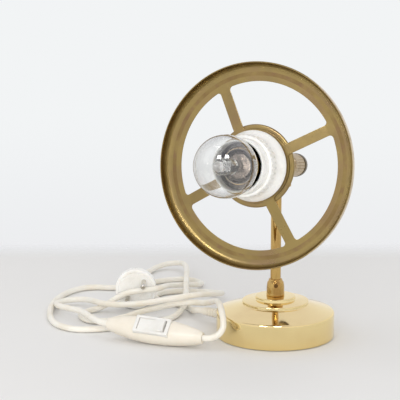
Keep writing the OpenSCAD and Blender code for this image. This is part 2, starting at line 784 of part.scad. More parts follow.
module switch_lower() {
  color(c_cream) switch_frame() difference() {
    rotate([180, 0, 0]) translate([0, 0, gap]) switch_half();
    for (s = [-1, 1]) translate([s * 24, 0, 0]) {
      ring_cut(1.3, -10, 1);
      ring_cut(2.5, -10, -4.4);
    }
  }
}

module switch_upper() {
  color(c_cream) switch_frame() difference() {
    switch_half();
    translate([-14.1, -7.1, 3.1]) cube([28.2, 14.2, 10]);
    for (s = [-1, 1]) translate([s * 24, 0, 0]) ring_cut(1.25, -1, 5);
  }
}

module switch_screws() {
  color(c_steel) switch_frame() for (s = [-1, 1]) translate([s * 24, 0, 0]) difference() {
    union() {
      ring_cut(1.2, -4.4, 4.6);
      ring_cut(2.4, -6.1, -4.4);
    }
    translate([-3, -0.35, -6.6]) cube([6, 0.7, 1.2]);
  }
}

module switch_bezel() {
  color(c_white) switch_frame() difference() {
    translate([-14, -7, 3.2]) cube([28, 14, 6.2]);
    translate([-11.7, -5.2, 0]) cube([23.4, 10.4, 12]);
    translate([0, 0, rocker_z]) rotate([90, 0, 0])
      translate([0, 0, -6]) cylinder(r = 1.25, h = 12, $fn = 32);
  }
}

module switch_rocker() {
  color(c_white) switch_frame() translate([0, 0, rocker_z]) rotate([0, rocker_tilt, 0])
    rotate([90, 0, 0]) {
      translate([0, 0, -4.85]) linear_extrude(height = 9.7) polygon([
        [-3, -2.6], [3, -2.6], [10.4, -0.8], [10.7, 4.7], [10.2, 4.9], [5, 4.2], [0, 3.9],
        [-5, 4.2], [-10.2, 4.9], [-10.7, 4.7], [-10.4, -0.8]
      ]);
      translate([0, 0, -5.9]) cylinder(r = 1.2, h = 11.8, $fn = 32);
    }
}

module switch_contacts() {
  color(c_brass) switch_frame() for (s = [-1, 1]) {
    translate([s * 10 - 2, -2, -5.9]) cube([4, 4, 3.9]);
    translate([s * 8 - 6, -2.5, -2]) cube([12, 5, 0.7]);
  }
}

// Plug

module plug_frame() {
  pile() translate(plug_at) rotate([90, 0, 0]) children();
}

module plug_face() {
  color(c_white) plug_frame() difference() {
    rotate_extrude($fn = 72) polygon(concat(
      [[0, -3], [plug_r, -3]],
      arc(plug_r - 1, -1, 1, 0, 90, 4),
      [[0, 0]]
    ));
    for (s = [-1, 1]) translate([s * pin_xy[0], s * pin_xy[1], 0]) ring_cut(pin_d / 2 + gap, -4, 1);
  }
}

module plug_shell() {
  color(c_white) plug_frame() rotate_extrude($fn = 72) polygon([
    [boot_r0 - 1.2, -29.9], [boot_r0 + 0.6, -29.9], [8, -24], [12, -18.6], [plug_r - 1.2, -10.8],
    [plug_r, -8.6], [plug_r, -3 - gap], [plug_r - 2, -3 - gap], [plug_r - 2, -8.4],
    [plug_r - 3.2, -10], [10.4, -17.2], [6.2, -22.8], [boot_r0 - 1.2, -24.8]
  ]);
}

module plug_boot() {
  color(c_white) plug_frame() rotate_extrude($fn = 48) polygon([
    [0, -22.2], [boot_r0, -22.2], [boot_r0, -23.3], [boot_r0 - 0.8, -24.2],
    [boot_r0 - 1.25, -24.7], [boot_r0 - 1.25, -29.95], [boot_r0, -29.95], [boot_r0, -31],
    [boot_r1, -boot_end], [0, -boot_end]
  ]);
}

module plug_pins() {
  color(c_steel) plug_frame() for (s = [-1, 1])
    translate([s * pin_xy[0], s * pin_xy[1], 0]) rotate_extrude($fn = 40) polygon(concat(
      [[0, -8], [pin_d / 2, -8]],
      arc(pin_d / 2 - 1.2, pin_l - 1.2, 1.2, 0, 90, 5),
      [[0, pin_l]]
    ));
}

base_cover();
base_weight();
base_felt();
base_nipple();
base_locknut();
base_washer();
bell_collar();
collar_set_screw();
cord_relief();
cord_tail();
cord_clamp();
clamp_screws();
foot_cores();
stem_tube();
stem_fork();
stem_cores();
pivot_block();
pivot_screws();
friction_washers();
knob_stud();
knob_washer();
fluted_knob();
head_nipple();
head_locknut();
head_cores();
rear_cup();
spoked_wheel();
holder_body();
holder_insert();
holder_screws();
thread_shell();
centre_contact();
shade_ring();
bulb_globe();
bulb_cap();
bulb_insulator();
bulb_contact();
bulb_capsule();
bulb_wires();
bulb_filament();
cord_foot_run();
cord_plug_run();
switch_lower();
switch_upper();
switch_bezel();
switch_rocker();
switch_contacts();
switch_screws();
plug_face();
plug_shell();
plug_boot();
plug_pins();
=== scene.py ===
"""Looks of a brass table lamp: stepped foot, swivel stem, spoked-wheel head, bulb and cord.

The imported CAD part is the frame. Sizes are in millimetres and become metres when a piece is
placed. The head's own axes run forward along +Z from the tilt axis. The pile of cord, the camera
and the lights lie in axes turned from the foot's, in which the camera looks along +Y.
"""

import logging
import math
from dataclasses import dataclass
from enum import Enum
from typing import Callable, Iterable, Sequence

import bmesh
import bpy
from mathutils import Matrix, Vector

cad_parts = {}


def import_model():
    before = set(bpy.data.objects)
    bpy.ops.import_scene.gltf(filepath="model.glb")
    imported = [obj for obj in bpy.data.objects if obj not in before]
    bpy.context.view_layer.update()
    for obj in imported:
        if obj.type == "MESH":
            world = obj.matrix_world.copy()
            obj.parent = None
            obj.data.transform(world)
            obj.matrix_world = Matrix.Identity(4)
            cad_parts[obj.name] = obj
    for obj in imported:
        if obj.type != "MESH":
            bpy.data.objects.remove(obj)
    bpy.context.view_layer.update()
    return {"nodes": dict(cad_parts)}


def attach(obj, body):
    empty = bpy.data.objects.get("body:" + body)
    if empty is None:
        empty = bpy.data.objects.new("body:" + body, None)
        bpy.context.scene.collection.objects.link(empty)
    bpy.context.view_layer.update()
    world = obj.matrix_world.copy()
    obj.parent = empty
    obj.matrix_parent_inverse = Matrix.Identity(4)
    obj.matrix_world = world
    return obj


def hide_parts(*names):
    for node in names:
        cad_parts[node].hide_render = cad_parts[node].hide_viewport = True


log = logging.getLogger("lamp")

MM = 0.001
PIVOT_H = 132.7
HEAD_TILT = 8.0
PILE_TURN = 25.2
WHEEL_Z = 38.0
HUB_RISE = 6.2
HUB_Z = WHEEL_Z + HUB_RISE
SHEET = 1.0
BASE_R = 45.5
BASE_H = 31.5
SKIRT_R = 20.0
CORD_R = 2.4
RELIEF_L = 20.0
EXIT_DIR = 171.97
ENTRY_Z = 9.0
GAP = 0.05

Shape = bmesh.types.BMesh
Object = bpy.types.Object
Tree = bpy.types.NodeTree
Node = bpy.types.Node
Socket = bpy.types.NodeSocket
Profile = list[tuple[float, float]]
Point = tuple[float, float, float]
Colour = tuple[float, float, float, float]


class Body(Enum):
    """The moving bodies of the lamp, by their names in the frame."""

    FOOT = "foot"
    STEM = "stem"
    HEAD = "head"
    KNOB = "knob"
    ROCKER = "rocker"


def turned(degrees: float, axis: str) -> Matrix:
    """Turn about an axis."""
    return Matrix.Rotation(math.radians(degrees), 4, axis)


def shifted(x: float, y: float, z: float) -> Matrix:
    """Shift by millimetres, for axes that lie in metres."""
    return Matrix.Translation(Vector((x, y, z)) * MM)


FOOT_AXES = Matrix.Identity(4)
HEAD_AXES = shifted(0, 0, PIVOT_H) @ turned(90 - HEAD_TILT, "X")
PILE_AXES = turned(PILE_TURN, "Z")
EXIT_AXES = turned(EXIT_DIR, "Z") @ shifted(0, 0, ENTRY_Z) @ turned(90, "Y")


# Nodes

# A tinted Mix node takes its two colours at inputs 6 and 7 and gives the mix at output 2.
EASED = {"interpolation_type": "SMOOTHSTEP"}
TINTED = {"data_type": "RGBA"}
MIXED = 2


def linear(colour: str) -> Colour:
    """Turns an sRGB hex colour into the linear RGBA that a shader socket takes.

    Args:
        colour: six hex digits.

    Returns:
        Linear red, green, blue and an alpha of 1.
    """
    parts = (int(colour[i : i + 2], 16) / 255 for i in (0, 2, 4))
    return (*(c / 12.92 if c <= 0.04045 else ((c + 0.055) / 1.055) ** 2.4 for c in parts), 1.0)


def blank_tree(owner: bpy.types.Material | bpy.types.World) -> Tree:
    """Gives a material or a world an empty node tree.

    Args:
        owner: the material or the world.

    Returns:
        Its node tree.
    """
    owner.use_nodes = True
    owner.node_tree.nodes.clear()
    return owner.node_tree


def add(tree: Tree, kind: str, settings: dict | None = None, **inputs: object) -> Node:
    """Adds a node, sets it up and feeds its sockets.

    Args:
        tree: the node tree that takes the node.
        kind: the node's Blender type.
        settings: attribute values, and under "ramp" the stops of a colour ramp.
        **inputs: socket name with underscores for spaces, or i and an index, to a value, or to
            a socket or a node's first socket that is linked.

    Returns:
        The new node.
    """
    node = tree.nodes.new(kind)
    settings = dict(settings or {})
    stops = settings.pop("ramp", ())
    for key, value in settings.items():
        setattr(node, key, value)
    for number, (place, colour) in enumerate(stops):
        marks = node.color_ramp.elements
        mark = marks[number] if number < len(marks) else marks.new(place)
        mark.position = place
        mark.color = colour
    for key, value in inputs.items():
        indexed = key[0] == "i" and key[1:].isdigit()
        socket = node.inputs[int(key[1:]) if indexed else key.replace("_", " ")]
        if isinstance(value, Node):
            value = value.outputs[0]
        if isinstance(value, Socket):
            tree.links.new(value, socket)
        else:
            socket.default_value = value
    return node


# Finishes

EVEN = (1.0, 1.0, 1.0)
PATCH_SHIFT = 0.11
ROUGH_SHIFT = 0.37
GRAIN_SHIFT = 0.53
SHIFT_RATIO = (1.0, 0.7, 1.3)
PATTERN_DETAIL = 3.0
GRAIN_DETAIL = 2.0
PATTERN_ROUGHNESS = 0.55
PATTERN_LOW = 0.3
PATTERN_HIGH = 0.7
SCATTER_RATIO = (0.6, 0.5, 0.4)
SCATTER_MM = 2.0


@dataclass(frozen=True)
class Patch:
    """A second tone that lies over a finish in soft patches.

    size_mm is the width of a patch, edge the pattern's level it starts at, soft how far it
    fades, amount how strongly it covers, and stretch makes patches long along an axis.
    """

    tone: str
    size_mm: float
    edge: float
    soft: float
    amount: float
    stretch: Point = EVEN


@dataclass(frozen=True)
class Grain:
    """Relief of a finish: bumps of size_mm that stand depth_mm high, stretched along an axis."""

    size_mm: float
    depth_mm: float
    strength: float
    stretch: Point = EVEN


@dataclass(frozen=True)
class Finish:
    """A surface finish, named for the real material and how its surface was made.

    The roughness wanders by rough_spread to either side, in patches of rough_size_mm.
    """

    name: str
    colour: str
    roughness: float
    metallic: float = 0.0
    rough_spread: float = 0.0
    rough_size_mm: float = 8.0
    ior: float = 1.5
    transmission: float = 0.0
    coat: float = 0.0
    coat_roughness: float = 0.05
    subsurface: float = 0.0
    sheen: float = 0.0
    patches: tuple[Patch, ...] = ()
    grains: tuple[Grain, ...] = ()

    def build(self) -> bpy.types.Material:
        """Makes the node material once and gives it out from then on.

        Returns:
            The material.
        """
        found = bpy.data.materials.get(self.name)
        if found:
            return found
        material = bpy.data.materials.new(self.name)
        tree = blank_tree(material)
        place = add(tree, "ShaderNodeTexCoord").outputs["Object"]
        values = {
            "Base_Color": self._colour(tree, place),
            "Metallic": self.metallic,
            "Roughness": self._roughness(tree, place),
            "Transmission_Weight": self.transmission,
            "Coat_Weight": self.coat,
            "Coat_Roughness": self.coat_roughness,
            "Subsurface_Weight": self.subsurface,
            "Subsurface_Radius": SCATTER_RATIO,
            "Subsurface_Scale": SCATTER_MM * MM,
            "Sheen_Weight": self.sheen,
        }
        if not self.metallic:
            values["IOR"] = self.ior
        relief = self._relief(tree, place)
        if relief is not None:
            values["Normal"] = relief
        add(tree, "ShaderNodeOutputMaterial", Surface=add(tree, "ShaderNodeBsdfPrincipled", **values))
        return material

    def _pattern(
        self, tree: Tree, place: Socket, size_mm: float, shift: float,
        stretch: Point = EVEN, detail: float = PATTERN_DETAIL,
    ) -> Node:
        """Adds an uneven pattern.

        Args:
            tree: the material's nodes.
            place: where the surface lies on the piece.
            size_mm: the width of its cells.
            shift: how far it is moved, so that no two patterns agree.
            stretch: how long its cells are along each axis.
            detail: how many finer layers it has.

        Returns:
            The node that gives its level.
        """
        cells = add(
            tree, "ShaderNodeMapping", Vector=place,
            Location=tuple(shift * ratio for ratio in SHIFT_RATIO), Scale=tuple(1 / s for s in stretch),
        )
        return add(
            tree, "ShaderNodeTexNoise", Vector=cells,
            Scale=1 / (size_mm * MM), Detail=detail, Roughness=PATTERN_ROUGHNESS,
        )

    def _colour(self, tree: Tree, place: Socket) -> Colour | Socket:
        """Lays the patches over the base colour.

        Args:
            tree: the material's nodes.
            place: where the surface lies on the piece.

        Returns:
            The colour where it is even, or else the socket that gives it.
        """
        result = linear(self.colour)
        for number, patch in enumerate(self.patches, 1):
            cover = add(
                tree, "ShaderNodeMapRange", EASED,
                Value=self._pattern(tree, place, patch.size_mm, PATCH_SHIFT * number, patch.stretch),
                From_Min=patch.edge - patch.soft, From_Max=patch.edge + patch.soft, To_Max=patch.amount,
            )
            blend = add(tree, "ShaderNodeMix", TINTED, i0=cover, i6=result, i7=linear(patch.tone))
            result = blend.outputs[MIXED]
        return result

    def _roughness(self, tree: Tree, place: Socket) -> float | Node:
        """Spreads the roughness unevenly.

        Args:
            tree: the material's nodes.
            place: where the surface lies on the piece.

        Returns:
            The roughness where it is even, or else the node that gives it.
        """
        if not self.rough_spread:
            return self.roughness
        return add(
            tree, "ShaderNodeMapRange",
            Value=self._pattern(tree, place, self.rough_size_mm, ROUGH_SHIFT),
            From_Min=PATTERN_LOW, From_Max=PATTERN_HIGH,
            To_Min=max(0.0, self.roughness - self.rough_spread),
            To_Max=self.roughness + self.rough_spread,
        )

    def _relief(self, tree: Tree, place: Socket) -> Node | None:
        """Stacks the grains.

        Args:
            tree: the material's nodes.
            place: where the surface lies on the piece.

        Returns:
            The node that gives the normal, or None for a flat finish.
        """
        normal = None
        for number, grain in enumerate(self.grains):
            shift = GRAIN_SHIFT + number
            level = self._pattern(tree, place, grain.size_mm, shift, grain.stretch, GRAIN_DETAIL)
            values = {"Strength": grain.strength, "Distance": grain.depth_mm * MM, "Height": level}
            if normal is not None:
                values["Normal"] = normal
            normal = add(tree, "ShaderNodeBump", **values)
        return normal


# Spun brass, buffed to a mirror and lacquered: bright warm reflections, a few brown spots.
POLISHED_BRASS = Finish(
    "brass_spun_polished", "F7E1A6", roughness=0.08, metallic=1.0, rough_spread=0.03, rough_size_mm=14,
    patches=(Patch("EBCF95", 26, 0.56, 0.2, 0.5), Patch("8A6230", 1.1, 0.76, 0.03, 0.6)),
    grains=(Grain(18, 0.04, 0.2), Grain(0.5, 0.003, 0.1)),
)

# Drawn tube and turned collar: the same lacquer over a deeper, browner brass, with long brown streaks along
# it that are painted reflection of the darker room. The fine lines that drawing leaves are coarser than
# real, so that they show.
DRAWN_BRASS = Finish(
    "brass_drawn_lacquered", "CDAA68", roughness=0.1, metallic=1.0, rough_spread=0.04, rough_size_mm=6,
    # long brown streaks: painted reflection of the darker room
    patches=(Patch("94622A", 5, 0.58, 0.14, 0.7, (1, 1, 5)),),
    grains=(Grain(0.4, 0.004, 0.15, (1, 1, 12)),),
)

# Pressed brass sheet under old lacquer: a dull satin with olive and rosy blotches.
SATIN_BRASS = Finish(
    "brass_sheet_satin", "A6905C", roughness=0.31, metallic=1.0, rough_spread=0.05, rough_size_mm=16,
    patches=(
        Patch("94805A", 20, 0.52, 0.16, 0.6),
        Patch("9B7E62", 30, 0.58, 0.12, 0.5),
        Patch("7C683E", 2.6, 0.72, 0.06, 0.45),
    ),
    grains=(Grain(12, 0.05, 0.15), Grain(0.5, 0.006, 0.12)),
)

# The same sheet on the inside wall of the flange and its curve: duller, and darkened with painted shade
# where the wall turns away from the light.
FLANGE_PAINTED_SHADE = Finish(
    "brass_sheet_flange_painted_shade", "947E4E", roughness=0.42, metallic=1.0, rough_spread=0.06,
    patches=(Patch("7C683C", 9, 0.55, 0.16, 0.6),),
    grains=(Grain(0.8, 0.012, 0.25),),
)

# The same sheet where the ring begins to curve, darkened brown along a soft line with painted shade.
CURVE_PAINTED_SHADE = Finish(
    "brass_sheet_curve_painted_shade", "8C734C", roughness=0.36, metallic=1.0, rough_spread=0.05,
    patches=(Patch("A6905C", 16, 0.5, 0.2, 0.8), Patch("8F7058", 9, 0.58, 0.12, 0.6)),
    grains=(Grain(0.6, 0.008, 0.15),),
)

# The outside wall of the flange, on its side that faces +X: a pale painted reflection of the bright room.
WALL_PAINTED_REFLECTION = Finish(
    "brass_sheet_painted_reflection", "DECDB4", roughness=0.24, metallic=1.0, rough_spread=0.06,
    patches=(Patch("B9A27C", 7, 0.6, 0.12, 0.6),),
    grains=(Grain(0.8, 0.01, 0.2),),
)

# Turned brass left as machined, a little tarnished: hidden nipples, nuts and the hinge. Its
# turning marks are coarser than real, so that they show.
MACHINED_BRASS = Finish(
    "brass_turned", "C2A263", roughness=0.28, metallic=1.0, rough_spread=0.06,
    patches=(Patch("8D7038", 5, 0.6, 0.12, 0.6),),
    grains=(Grain(0.35, 0.01, 0.3, (8, 8, 0.6)),),
)

# Die-cast knob, bronzed by handling: greyer and darker than the sheet brass.
BRONZED_KNOB = Finish(
    "knob_bronzed_brass", "BCA98A", roughness=0.3, metallic=1.0, rough_spread=0.06,
    patches=(Patch("94805F", 4, 0.58, 0.14, 0.6),),
    grains=(Grain(0.5, 0.012, 0.3),),
)

# The knob's smooth end, darker than its barrel.
DARK_KNOB_END = Finish(
    "knob_end_darkened", "57492F", roughness=0.26, metallic=1.0,
    patches=(Patch("7A6A4C", 3, 0.58, 0.1, 0.6),),
    grains=(Grain(0.7, 0.01, 0.2),),
)

# Moulded white thermoplastic: glossy, faintly translucent, slightly warm with age.
WHITE_PLASTIC = Finish(
    "plastic_white_moulded", "F5F4F0", roughness=0.28, rough_spread=0.05, subsurface=0.12,
    patches=(Patch("E9E6DE", 16, 0.58, 0.14, 0.6),),
    grains=(Grain(1.6, 0.006, 0.15),),
)

# Moulded frame and rocker of the switch: the white plastic made greyer, partly its own duller white, partly
# painted shade that tones down how brightly the lamps light their upward faces.
FRAME_SHADED_PLASTIC = Finish(
    "plastic_frame_painted_shade", "E8E6E1", roughness=0.32, subsurface=0.08,
    patches=(Patch("DEDBD4", 9, 0.58, 0.14, 0.6),),
    grains=(Grain(1.2, 0.008, 0.15),),
)

# Moulded cream thermoplastic of the switch, a shade yellower than the white pieces.
CREAM_PLASTIC = Finish(
    "plastic_cream_moulded", "ECE4D5", roughness=0.34, rough_spread=0.05, subsurface=0.12,
    patches=(Patch("E4DCCB", 14, 0.58, 0.14, 0.6),),
    grains=(Grain(0.9, 0.015, 0.25),),
)

# Extruded soft PVC sheath: satin, with grubby beige patches.
CREAM_SHEATH = Finish(
    "pvc_cream_sheath", "F2EEE4", roughness=0.4, rough_spread=0.08, subsurface=0.1,
    patches=(Patch("E9E1D0", 18, 0.56, 0.14, 0.7), Patch("D2C5A8", 2.2, 0.74, 0.05, 0.3)),
    grains=(Grain(6, 0.04, 0.15), Grain(0.4, 0.008, 0.15)),
)

# Blown soda glass: clear, with slight waves. Its index is matched to how little the thin wall
# bends the view.
BULB_GLASS = Finish(
    "glass_blown_clear", "FBFBFA", roughness=0.0, ior=1.4, transmission=1.0, coat=1.0, coat_roughness=0.02,
    grains=(Grain(14, 0.02, 0.08),),
)

# Quartz burner: clear, with a breath of grey from use. Its index is matched as the bulb's is.
QUARTZ = Finish(
    "quartz_clear", "F6F6F4", roughness=0.0, ior=1.36, transmission=1.0,
    patches=(Patch("DEDBD8", 7, 0.56, 0.15, 0.7),),
    grains=(Grain(3, 0.04, 0.2),),
)

# The burner's sealed tip, frosted by the flame.
FROSTED_TIP = Finish(
    "quartz_frosted_tip", "F3F1EE", roughness=0.32, ior=1.3, transmission=0.55,
    grains=(Grain(1.5, 0.05, 0.3),),
)

# Silvered flare and heat shield in the neck: warm grey, softly shining, spotted with soot.
SILVERED_MOUNT = Finish(
    "silvered_flare", "94887E", roughness=0.22, metallic=0.85, rough_spread=0.08, rough_size_mm=3,
    patches=(Patch("6F645D", 3.2, 0.54, 0.1, 0.8),),
    grains=(Grain(2.2, 0.12, 0.5),),
)

# Nickel plate on brass: bright and faintly warm, with handling marks coarser than real, so that
# they show.
NICKEL = Finish(
    "nickel_plate", "CFCBC2", roughness=0.16, metallic=1.0, rough_spread=0.06, rough_size_mm=3,
    patches=(Patch("9F998C", 3, 0.6, 0.1, 0.6),),
    grains=(Grain(0.3, 0.006, 0.25),),
)

# Zinc-plated steel: dull blue-grey screws and washers.
ZINC_STEEL = Finish(
    "steel_zinc_plated", "A9ACB0", roughness=0.34, metallic=1.0, rough_spread=0.08,
    patches=(Patch("84868A", 4, 0.55, 0.12, 0.6),),
    grains=(Grain(0.4, 0.01, 0.3),),
)

# Browned steel of the grub screw in the collar: dark, with a dull shine.
BROWNED_STEEL = Finish(
    "steel_browned", "7A5A34", roughness=0.36, metallic=1.0,
    patches=(Patch("5E4526", 1.2, 0.6, 0.1, 0.6),),
    grains=(Grain(0.4, 0.008, 0.2),),
)

# Sand-cast iron: dark and grainy, its grit coarser than real, so that it shows.
CAST_IRON = Finish(
    "iron_sand_cast", "4A4A4C", roughness=0.62, metallic=0.7, rough_spread=0.1,
    patches=(Patch("5A4436", 9, 0.58, 0.1, 0.6),),
    grains=(Grain(1.1, 0.14, 0.6),),
)

# Pressed wool felt: matte green-black pile, coarser than its real fibres, so that it shows.
FELT = Finish(
    "felt_wool", "26302A", roughness=0.95, sheen=0.4,
    patches=(Patch("3A443C", 0.8, 0.5, 0.15, 0.7),),
    grains=(Grain(0.5, 0.12, 0.7),),
)

# Fused black glass between the cap and its contact: smooth and shiny.
BLACK_GLASS = Finish("glass_black_fused", "101113", roughness=0.12, grains=(Grain(2.0, 0.04, 0.3),))

# Painted shade deep in the holder's bore, black like a gap round the neck of the bulb.
BORE_PAINTED_SHADE = Finish("bore_painted_shade", "161413", roughness=0.5, grains=(Grain(0.8, 0.02, 0.3),))

# Glazed steatite of the terminal block: off-white, with a fired gloss.
STEATITE = Finish(
    "steatite_glazed", "E4E0D2", roughness=0.3,
    patches=(Patch("D2CBB8", 5, 0.56, 0.12, 0.6),),
    grains=(Grain(0.7, 0.03, 0.3),),
)

# PVC insulation of the cores: brown and half matte.
CORE_PVC = Finish(
    "pvc_core_brown", "6B4430", roughness=0.45,
    patches=(Patch("54331F", 6, 0.55, 0.12, 0.6),),
    grains=(Grain(0.6, 0.01, 0.2),),
)

# Drawn tungsten: grey and matte.
TUNGSTEN = Finish(
    "tungsten_wire", "6E6C6A", roughness=0.45, metallic=1.0, grains=(Grain(0.2, 0.01, 0.3),)
)

CAD_FINISHES: tuple[tuple[Finish, tuple[str, ...]], ...] = (
    (CAST_IRON, ("base_weight",)),
    (FELT, ("base_felt",)),
    (
        MACHINED_BRASS,
        ("base_nipple", "base_locknut", "knob_washer", "head_nipple", "head_locknut")
        + ("holder_screws", "thread_shell", "centre_contact", "switch_contacts"),
    ),
    (
        ZINC_STEEL,
        ("base_washer", "cord_clamp", "clamp_screws", "friction_washers", "knob_stud")
        + ("bulb_contact", "switch_screws"),
    ),
    (BROWNED_STEEL, ("collar_set_screw",)),
    (CREAM_SHEATH, ("cord_tail",)),
    (CORE_PVC, ("foot_cores", "stem_cores", "head_cores")),
    (STEATITE, ("holder_insert",)),
    (BLACK_GLASS, ("bulb_insulator",)),
)


# Shapes


def arc(cx: float, cy: float, r: float, a0: float, a1: float, n: int) -> Profile:
    """Points on a round stretch of an outline.

    Args:
        cx: centre along the first axis.
        cy: centre along the second axis.
        r: radius.
        a0: first angle in degrees.
        a1: last angle in degrees.
        n: number of steps.

    Returns:
        n + 1 points from a0 to a1.
    """
    turns = (math.radians(a0 + (a1 - a0) * i / n) for i in range(n + 1))
    return [(cx + r * math.cos(a), cy + r * math.sin(a)) for a in turns]


def smooth_line(points: Sequence[Sequence[float]], per: int) -> list[tuple[float, ...]]:
    """Runs a smooth line through given points, with per steps between two of them.

    Args:
        points: the points, in two or three dimensions.
        per: steps from one point to the next.

    Returns:
        The points of the line, the given ones among them.
    """
    knots = [Vector(p) for p in points]
    knots = [2 * knots[0] - knots[1], *knots, 2 * knots[-1] - knots[-2]]
    line = []
    for a, b, c, d in zip(knots, knots[1:], knots[2:], knots[3:]):
        slope, bend, twist = c - a, 2 * a - 5 * b + 4 * c - d, 3 * b - a - 3 * c + d
        for t in (i / per for i in range(per)):
            line.append(0.5 * (2 * b + slope * t + bend * t * t + twist * t**3))
    line.append(knots[-2])
    return [tuple(p) for p in line]


def soften(bm: Shape, edges: Sequence[bmesh.types.BMEdge], width: float, segments: int) -> None:
    """Rounds some edges of a shape.

    Args:
        bm: the shape.
        edges: the edges.
        width: radius of the rounding.
        segments: steps in the rounding.
    """
    bmesh.ops.bevel(
        bm, geom=edges, offset=width, offset_type="OFFSET", segments=segments,
        profile=0.5, affect="EDGES", clamp_overlap=True, material=-1,
    )


def thicken(bm: Shape, faces: Sequence[bmesh.types.BMFace], way: Point) -> None:
    """Draws faces out into a solid.

    Args:
        bm: the shape.
        faces: its faces, which stay as the solid's near side.
        way: the shift from the near side to the far one.
    """
    grown = bmesh.ops.extrude_face_region(bm, geom=faces, use_keep_orig=True)["geom"]
    far = [g for g in grown if isinstance(g, bmesh.types.BMVert)]
    bmesh.ops.translate(bm, vec=way, verts=far)


def steep_edges(bm: Shape, degrees: float) -> list[bmesh.types.BMEdge]:
    """Edges at which two faces meet at more than an angle."""
    return [e for e in bm.edges if len(e.link_faces) == 2 and e.calc_face_angle() > math.radians(degrees)]


def revolve(profile: Profile, steps: int = 128, closed: bool = True) -> Shape:
    """Spins a radius-and-height outline about the Z axis.

    Args:
        profile: radius and height of each point.
        steps: number of steps round the axis.
        closed: whether the last point joins the first.

    Returns:
        The spun shape, its doubles merged and its faces turned outwards.
    """
    bm = bmesh.new()
    verts = [bm.verts.new((r, 0, z)) for r, z in profile]
    pairs = list(zip(verts, verts[1:])) + ([(verts[-1], verts[0])] if closed else [])
    edges = [bm.edges.new(pair) for pair in pairs]
    bmesh.ops.spin(
        bm, geom=verts + edges, cent=(0, 0, 0), axis=(0, 0, 1), angle=math.tau, steps=steps, use_merge=True
    )
    bmesh.ops.remove_doubles(bm, verts=bm.verts, dist=1e-4)
    bmesh.ops.recalc_face_normals(bm, faces=bm.faces)
    return bm


def loft(stations: Iterable, section: Callable[..., Point], around: int) -> Shape:
    """Bridges rings of points and closes both ends.

    Args:
        stations: what each ring is made from, in order along the shape.
        section: gives the point at a station and an angle in radians.
        around: points in a ring.

    Returns:
        The closed shape.
    """
    bm = bmesh.new()
    rings = []
    for station in stations:
        made = bmesh.ops.create_circle(bm, segments=around, radius=1)["verts"]
        for vert in made:
            vert.co = section(station, math.atan2(vert.co.y, vert.co.x))
        rings.append(list(dict.fromkeys(edge for vert in made for edge in vert.link_edges)))
    for near, far in zip(rings, rings[1:]):
        bmesh.ops.bridge_loops(bm, edges=near + far)
    for end in (rings[0], rings[-1]):
        bmesh.ops.contextual_create(bm, geom=end)
    bmesh.ops.recalc_face_normals(bm, faces=bm.faces)
    return bm


def block(size: Point, centre: Point, bevel: float, segments: int, upright_only: bool = False) -> Shape:
    """A block with rounded edges.

    Args:
        size: its three side lengths.
        centre: its middle.
        bevel: radius of the rounding.
        segments: steps in the rounding.
        upright_only: whether only the edges along Z are rounded.

    Returns:
        The block.
    """
    bm = bmesh.new()
    bmesh.ops.create_cube(bm, size=1, matrix=Matrix.Translation(centre) @ Matrix.Diagonal((*size, 1)))
    edges = [
        e for e in bm.edges if not upright_only or abs(e.verts[0].co.z - e.verts[1].co.z) > size[2] / 2
    ]
    soften(bm, edges, bevel, segments)
    return bm


def rod(radius: float, low: float, high: float, bevel: float = 0.2, sides: int = 32) -> Shape:
    """A round rod along Z with softly broken ends."""
    lower = [(0, low), (radius - bevel, low), (radius, low + bevel)]
    return revolve([*lower, (radius, high - bevel), (radius - bevel, high), (0, high)], sides)


def moved(bm: Shape, matrix: Matrix) -> Shape:
    """Moves a shape and returns it."""
    bmesh.ops.transform(bm, matrix=matrix, verts=bm.verts)
    return bm


def mesh_of(name: str, bm: Shape) -> bpy.types.Mesh:
    """Turns a shape into a mesh.

    Args:
        name: the mesh's name.
        bm: the shape, which is used up.

    Returns:
        The mesh.
    """
    mesh = bpy.data.meshes.new(name)
    bm.to_mesh(mesh)
    bm.free()
    return mesh


def join(first: Shape, *rest: Shape) -> Shape:
    """Puts shapes together.

    Args:
        first: the shape that takes the others.
        *rest: the others, which are used up.

    Returns:
        The first shape.
    """
    for shape in rest:
        mesh = mesh_of("joined", shape)
        first.from_mesh(mesh)
        bpy.data.meshes.remove(mesh)
    return first


def put(name: str, data: bpy.types.ID) -> Object:
    """Puts a mesh, curve, light or camera into the scene.

    Args:
        name: the object's name.
        data: what it shows.

    Returns:
        The object.
    """
    obj = bpy.data.objects.new(name, data)
    bpy.context.scene.collection.objects.link(obj)
    return obj


def shade(mesh: bpy.types.Mesh, sharp: float) -> None:
    """Shades a mesh smoothly, with crisp edges where its faces meet at more than sharp degrees."""
    mesh.shade_smooth()
    mesh.set_sharp_from_angle(angle=math.radians(sharp))


